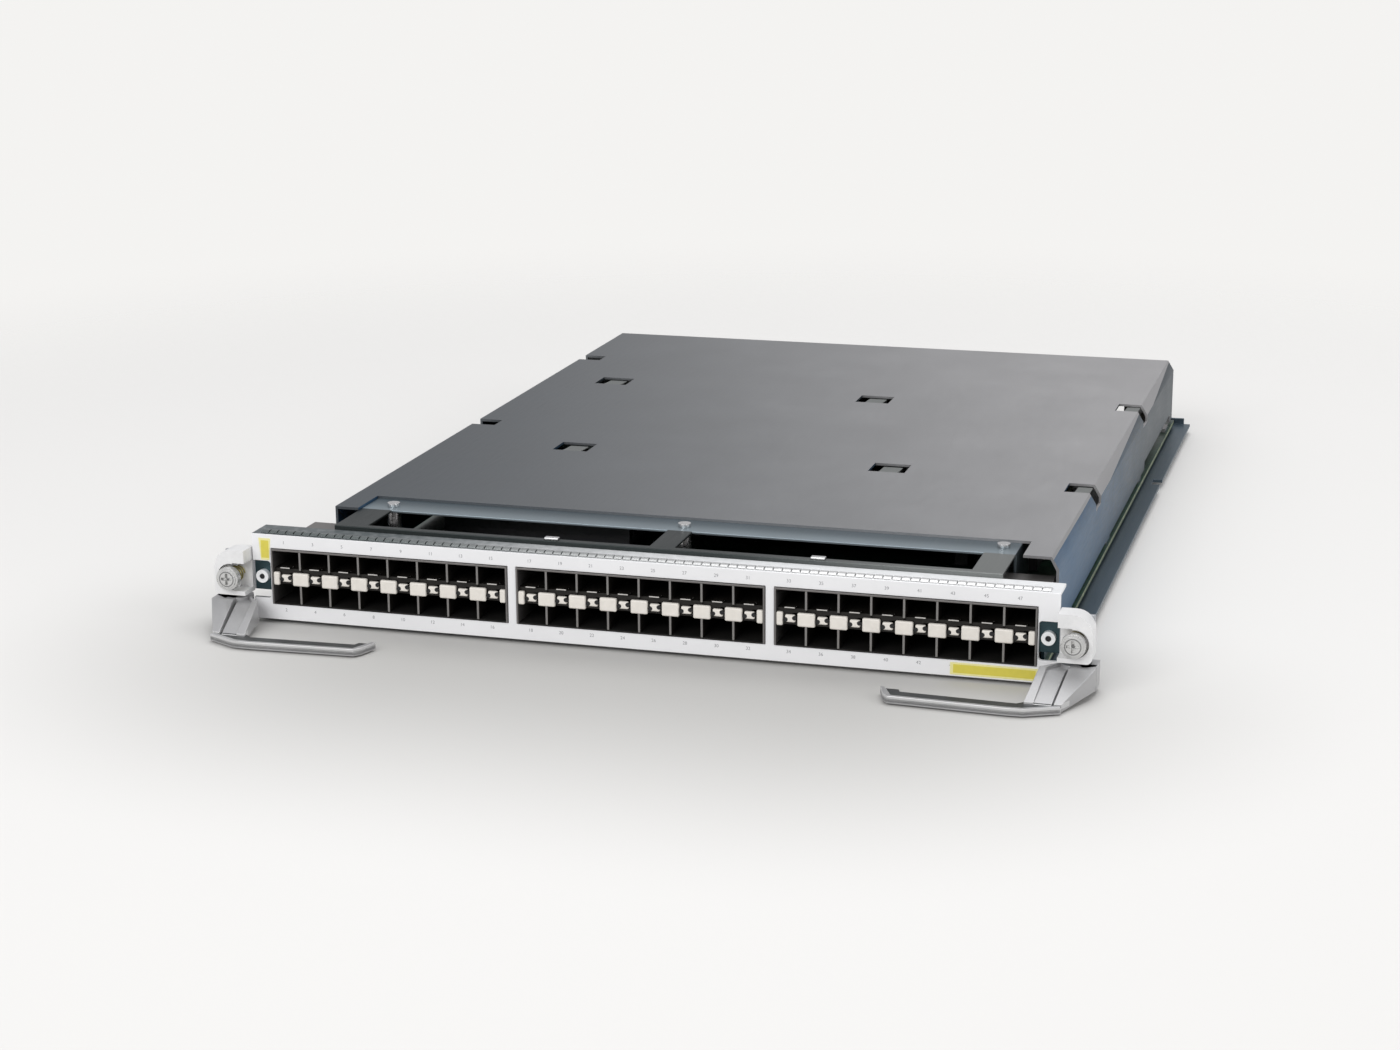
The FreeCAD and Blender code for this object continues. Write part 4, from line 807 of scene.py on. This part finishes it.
# Each strip of the arm: inner and outer x at its foot, middle and root, and how deep it lies.
ARM_STRIPS = (
    (174.5, 178.6, 177.5, 180.6, 185.5, 186.0, 0.0),
    (178.3, 185.9, 180.3, 188.4, 185.6, 189.2, 1.5),
    (186.9, 190.2, 189.7, 200.5, 190.1, 200.5, 0.0),
    (174.7, 190.0, 177.7, 200.3, 185.7, 200.3, 4.5),
)
HANDLE_FRONT = [
    (113.6, -26.3),
    (116.6, -35.6),
    (119.0, -38.6),
    (169.0, -41.0),
    (176.0, -40.6),
    (190.2, -33.6),
]
BAR_BACK = [(190.2, -28.5), (174.5, -28.5), (171.5, -31.2), (122.6, -29.0), (121.6, -26.3)]
LIP_BACK = [(188.5, -32.2), (175.2, -38.6), (168.8, -39.0), (120.2, -36.7), (115.4, -26.3)]
BAR_DROP = 0.9
LIP_RISE = 0.4


def add_loft(work, side, sections):
    """A ruled solid through rectangles: each section is (y, inner x, outer x, bottom, top)."""
    rings = []
    for y, inner, outer, bottom, top in sections:
        corners = ((inner, bottom), (outer, bottom), (outer, top), (inner, top))
        rings.append([work.verts.new(at(side * x, y, z)) for x, z in corners])
    join_rings(work, rings)


def lever_form(side):
    """The function that draws the lever's boss, cam, arm and handle."""

    def draw(work):
        add_prism(work, disc(side * SCREW_X, -0.6, BOSS_RADIUS, 48), -0.8, LEVER_TOP)
        add_prism(work, [(side * x, y) for x, y in CAM], 0.0, LEVER_TOP)
        for foot_in, foot_out, mid_in, mid_out, root_in, root_out, depth in ARM_STRIPS:
            sections = (
                (-31.0, foot_in, foot_out, HANDLE_BOTTOM, HANDLE_TOP - depth * 0.5),
                (-10.0, mid_in, mid_out, 1.5, LEVER_TOP - depth),
                (-2.2, root_in, root_out, 3.5, LEVER_TOP - depth),
            )
            add_loft(work, side, sections)
        bar = [(side * x, y) for x, y in HANDLE_FRONT + BAR_BACK]
        add_prism(work, bar, HANDLE_BOTTOM, HANDLE_TOP - BAR_DROP)
        lip = [(side * x, y) for x, y in HANDLE_FRONT + LIP_BACK]
        add_prism(work, lip, HANDLE_BOTTOM + LIP_RISE, HANDLE_TOP)

    return draw


def lever_painted_light(finish):
    """Grey, with painted shade darkening the dished top of the handle and a painted highlight
    brightening its lip.
    """
    handle = finish.axis(1).below(-0.2525) * finish.axis(2).below(0.0045)
    dish_shade = handle * finish.axis(2).below(0.0036) * finish.facing(2).above(0.9)
    lip = handle * finish.axis(2).above(0.0022) * finish.facing(2).below(0.9)
    base = finish.mixed((0.42, 0.42, 0.425), (0.062, 0.066, 0.068), dish_shade)
    return finish.mixed(base, (0.60, 0.60, 0.60), lip)


even = (1.0, 1.0, 1.0)
lever_metal = sheet_finish("lever_metal", (0.42, 0.42, 0.42), 0.34, 0.35, even, lever_painted_light)
for end, side in SIDES.items():
    node = f"ejector_lever_{end}"
    mesh = mesh_of(node + "_skin", lever_form(side))
    dressed(node + "_skin", mesh, lever_metal, 0.0006, f"lever_{end}", [node], 3)
    softened(f"pivot_pin_{end}", bright_plate, 0.0002)


# ---- Labels -------------------------------------------------------------------------------------
# Plain yellow film with a paler border, left blank: a strip under the lower right ports and a small
# tag at the upper left.


def border(finish, x_span, z_span):
    """0 inside a rectangle that spans those metres, and 1 outside it."""
    x = finish.axis(0)
    z = finish.axis(2)
    inside = x.above(x_span[0]) * x.below(x_span[1]) * z.above(z_span[0]) * z.below(z_span[1])
    return 1.0 - inside


label_film = Finish("label_film", (0.62, 0.52, 0.06), 0.4)
strip_edge = border(label_film, (0.1393, 0.1745), (0.0036, 0.0074))
tag_edge = border(label_film, (-0.1795, -0.1757), (0.0308, 0.0390))
film_color = label_film.mixed((0.70, 0.61, 0.085), (0.84, 0.79, 0.36), strip_edge * tag_edge)
label_film.paint(film_color, label_film.noise(300.0, 2.0), 0.08)
softened("port_labels", label_film.material, 0.0)


# ---- Studio -------------------------------------------------------------------------------------
# A plain pale floor that fades into a pale backdrop, with a painted shadow in front of the card. A
# broad soft light stands above, another in front, and a weaker one at the right.

FLOOR_HALF = 6.0
SHADE_HALF_WIDTH = 0.08
SHADE_FRONT = -0.24

floor_mesh = bpy.data.meshes.new("floor")
plane = bmesh.new()
bmesh.ops.create_grid(plane, x_segments=2, y_segments=2, size=FLOOR_HALF)
plane.to_mesh(floor_mesh)
plane.free()
floor = bpy.data.objects.new("floor", floor_mesh)
bpy.context.scene.collection.objects.link(floor)
floor_paint = Finish("floor_paint", (0.80, 0.793, 0.777), 0.95)
# Painted shadow: the floor is darkened just in front of the card.
beside = (floor_paint.axis(0).size() - SHADE_HALF_WIDTH).at_least_zero()
ahead = (SHADE_FRONT - floor_paint.axis(1)).at_least_zero()
apart = (beside * beside + ahead * ahead).root()
gloom = (1.0 - apart.smooth(0.0, 0.25)) * (1.0 - floor_paint.axis(1).smooth(-0.26, -0.12))
floor_color = floor_paint.mixed(floor_paint.color, (0.47, 0.465, 0.45), gloom)
floor_paint.paint(floor_color, floor_paint.noise(0.6, 2.0), 0.004)
reach = floor_paint.node("VectorMath", {"operation": "LENGTH"}, {0: floor_paint.place})
fade = Value(floor_paint, reach.outputs["Value"]).smooth(0.42, 0.95)
floor_paint.set("Alpha", 1.0 - fade)
floor_mesh.materials.append(floor_paint.material)

world = bpy.data.worlds.new("studio")
bpy.context.scene.world = world
world.use_nodes = True
sky = world.node_tree
glow = sky.nodes["Background"]
glow.inputs["Color"].default_value = (0.90, 0.90, 0.92, 1.0)
glow.inputs["Strength"].default_value = 0.55
backdrop = sky.nodes.new("ShaderNodeBackground")
backdrop.inputs["Color"].default_value = (0.905, 0.897, 0.882, 1.0)
backdrop.inputs["Strength"].default_value = 1.0
path = sky.nodes.new("ShaderNodeLightPath")
seen = sky.nodes.new("ShaderNodeMath")
seen.operation = "MAXIMUM"
sky.links.new(path.outputs["Is Camera Ray"], seen.inputs[0])
sky.links.new(path.outputs["Is Transmission Ray"], seen.inputs[1])
blend = sky.nodes.new("ShaderNodeMixShader")
sky.links.new(seen.outputs[0], blend.inputs["Fac"])
sky.links.new(glow.outputs[0], blend.inputs[1])
sky.links.new(backdrop.outputs[0], blend.inputs[2])
sky.links.new(blend.outputs[0], sky.nodes["World Output"].inputs["Surface"])


def soft_light(name, place, aim, width, power):
    """A rectangular lamp that faces a point."""
    lamp = bpy.data.lights.new(name, "AREA")
    lamp.shape = "RECTANGLE"
    lamp.size = width[0]
    lamp.size_y = width[1]
    lamp.energy = power
    holder = bpy.data.objects.new(name, lamp)
    bpy.context.scene.collection.objects.link(holder)
    holder.location = place
    holder.rotation_euler = (Vector(aim) - Vector(place)).to_track_quat("-Z", "Y").to_euler()


soft_light("overhead", (0.3, 0.6, 2.2), (0.0, 0.0, 0.0), (2.2, 1.8), 26.0)
soft_light("front_fill", (-0.6, -2.2, 1.3), (0.0, -0.2, 0.0), (1.8, 1.2), 30.0)
soft_light("right_fill", (2.0, -0.6, 0.9), (0.1, 0.0, 0.0), (1.2, 1.0), 8.0)


# ---- Camera -------------------------------------------------------------------------------------
# Stands in front and to the right with a fairly long lens, looking slightly down and turned a
# little to the left.

yaw = math.radians(16.286)
pitch = math.radians(15.106)
roll = math.radians(-0.328)
ahead_level = Vector((-math.sin(yaw), math.cos(yaw), 0.0))
forward = ahead_level * math.cos(pitch) - Vector((0.0, 0.0, math.sin(pitch)))
level = Vector((math.cos(yaw), math.sin(yaw), 0.0))
upright = level.cross(forward)
rightward = level * math.cos(roll) + upright * math.sin(roll)
upward = upright * math.cos(roll) - level * math.sin(roll)
lens = bpy.data.cameras.new("camera")
lens.lens = 67.95
lens.sensor_width = 36.0
lens.clip_start = 0.05
camera = bpy.data.objects.new("camera", lens)
bpy.context.scene.collection.objects.link(camera)
turned = Matrix((rightward, upward, -forward)).transposed().to_4x4()
camera.matrix_world = Matrix.Translation(Vector((0.3354, -1.2789, 0.3565))) @ turned
bpy.context.scene.camera = camera
bpy.context.scene.view_settings.view_transform = "Standard"
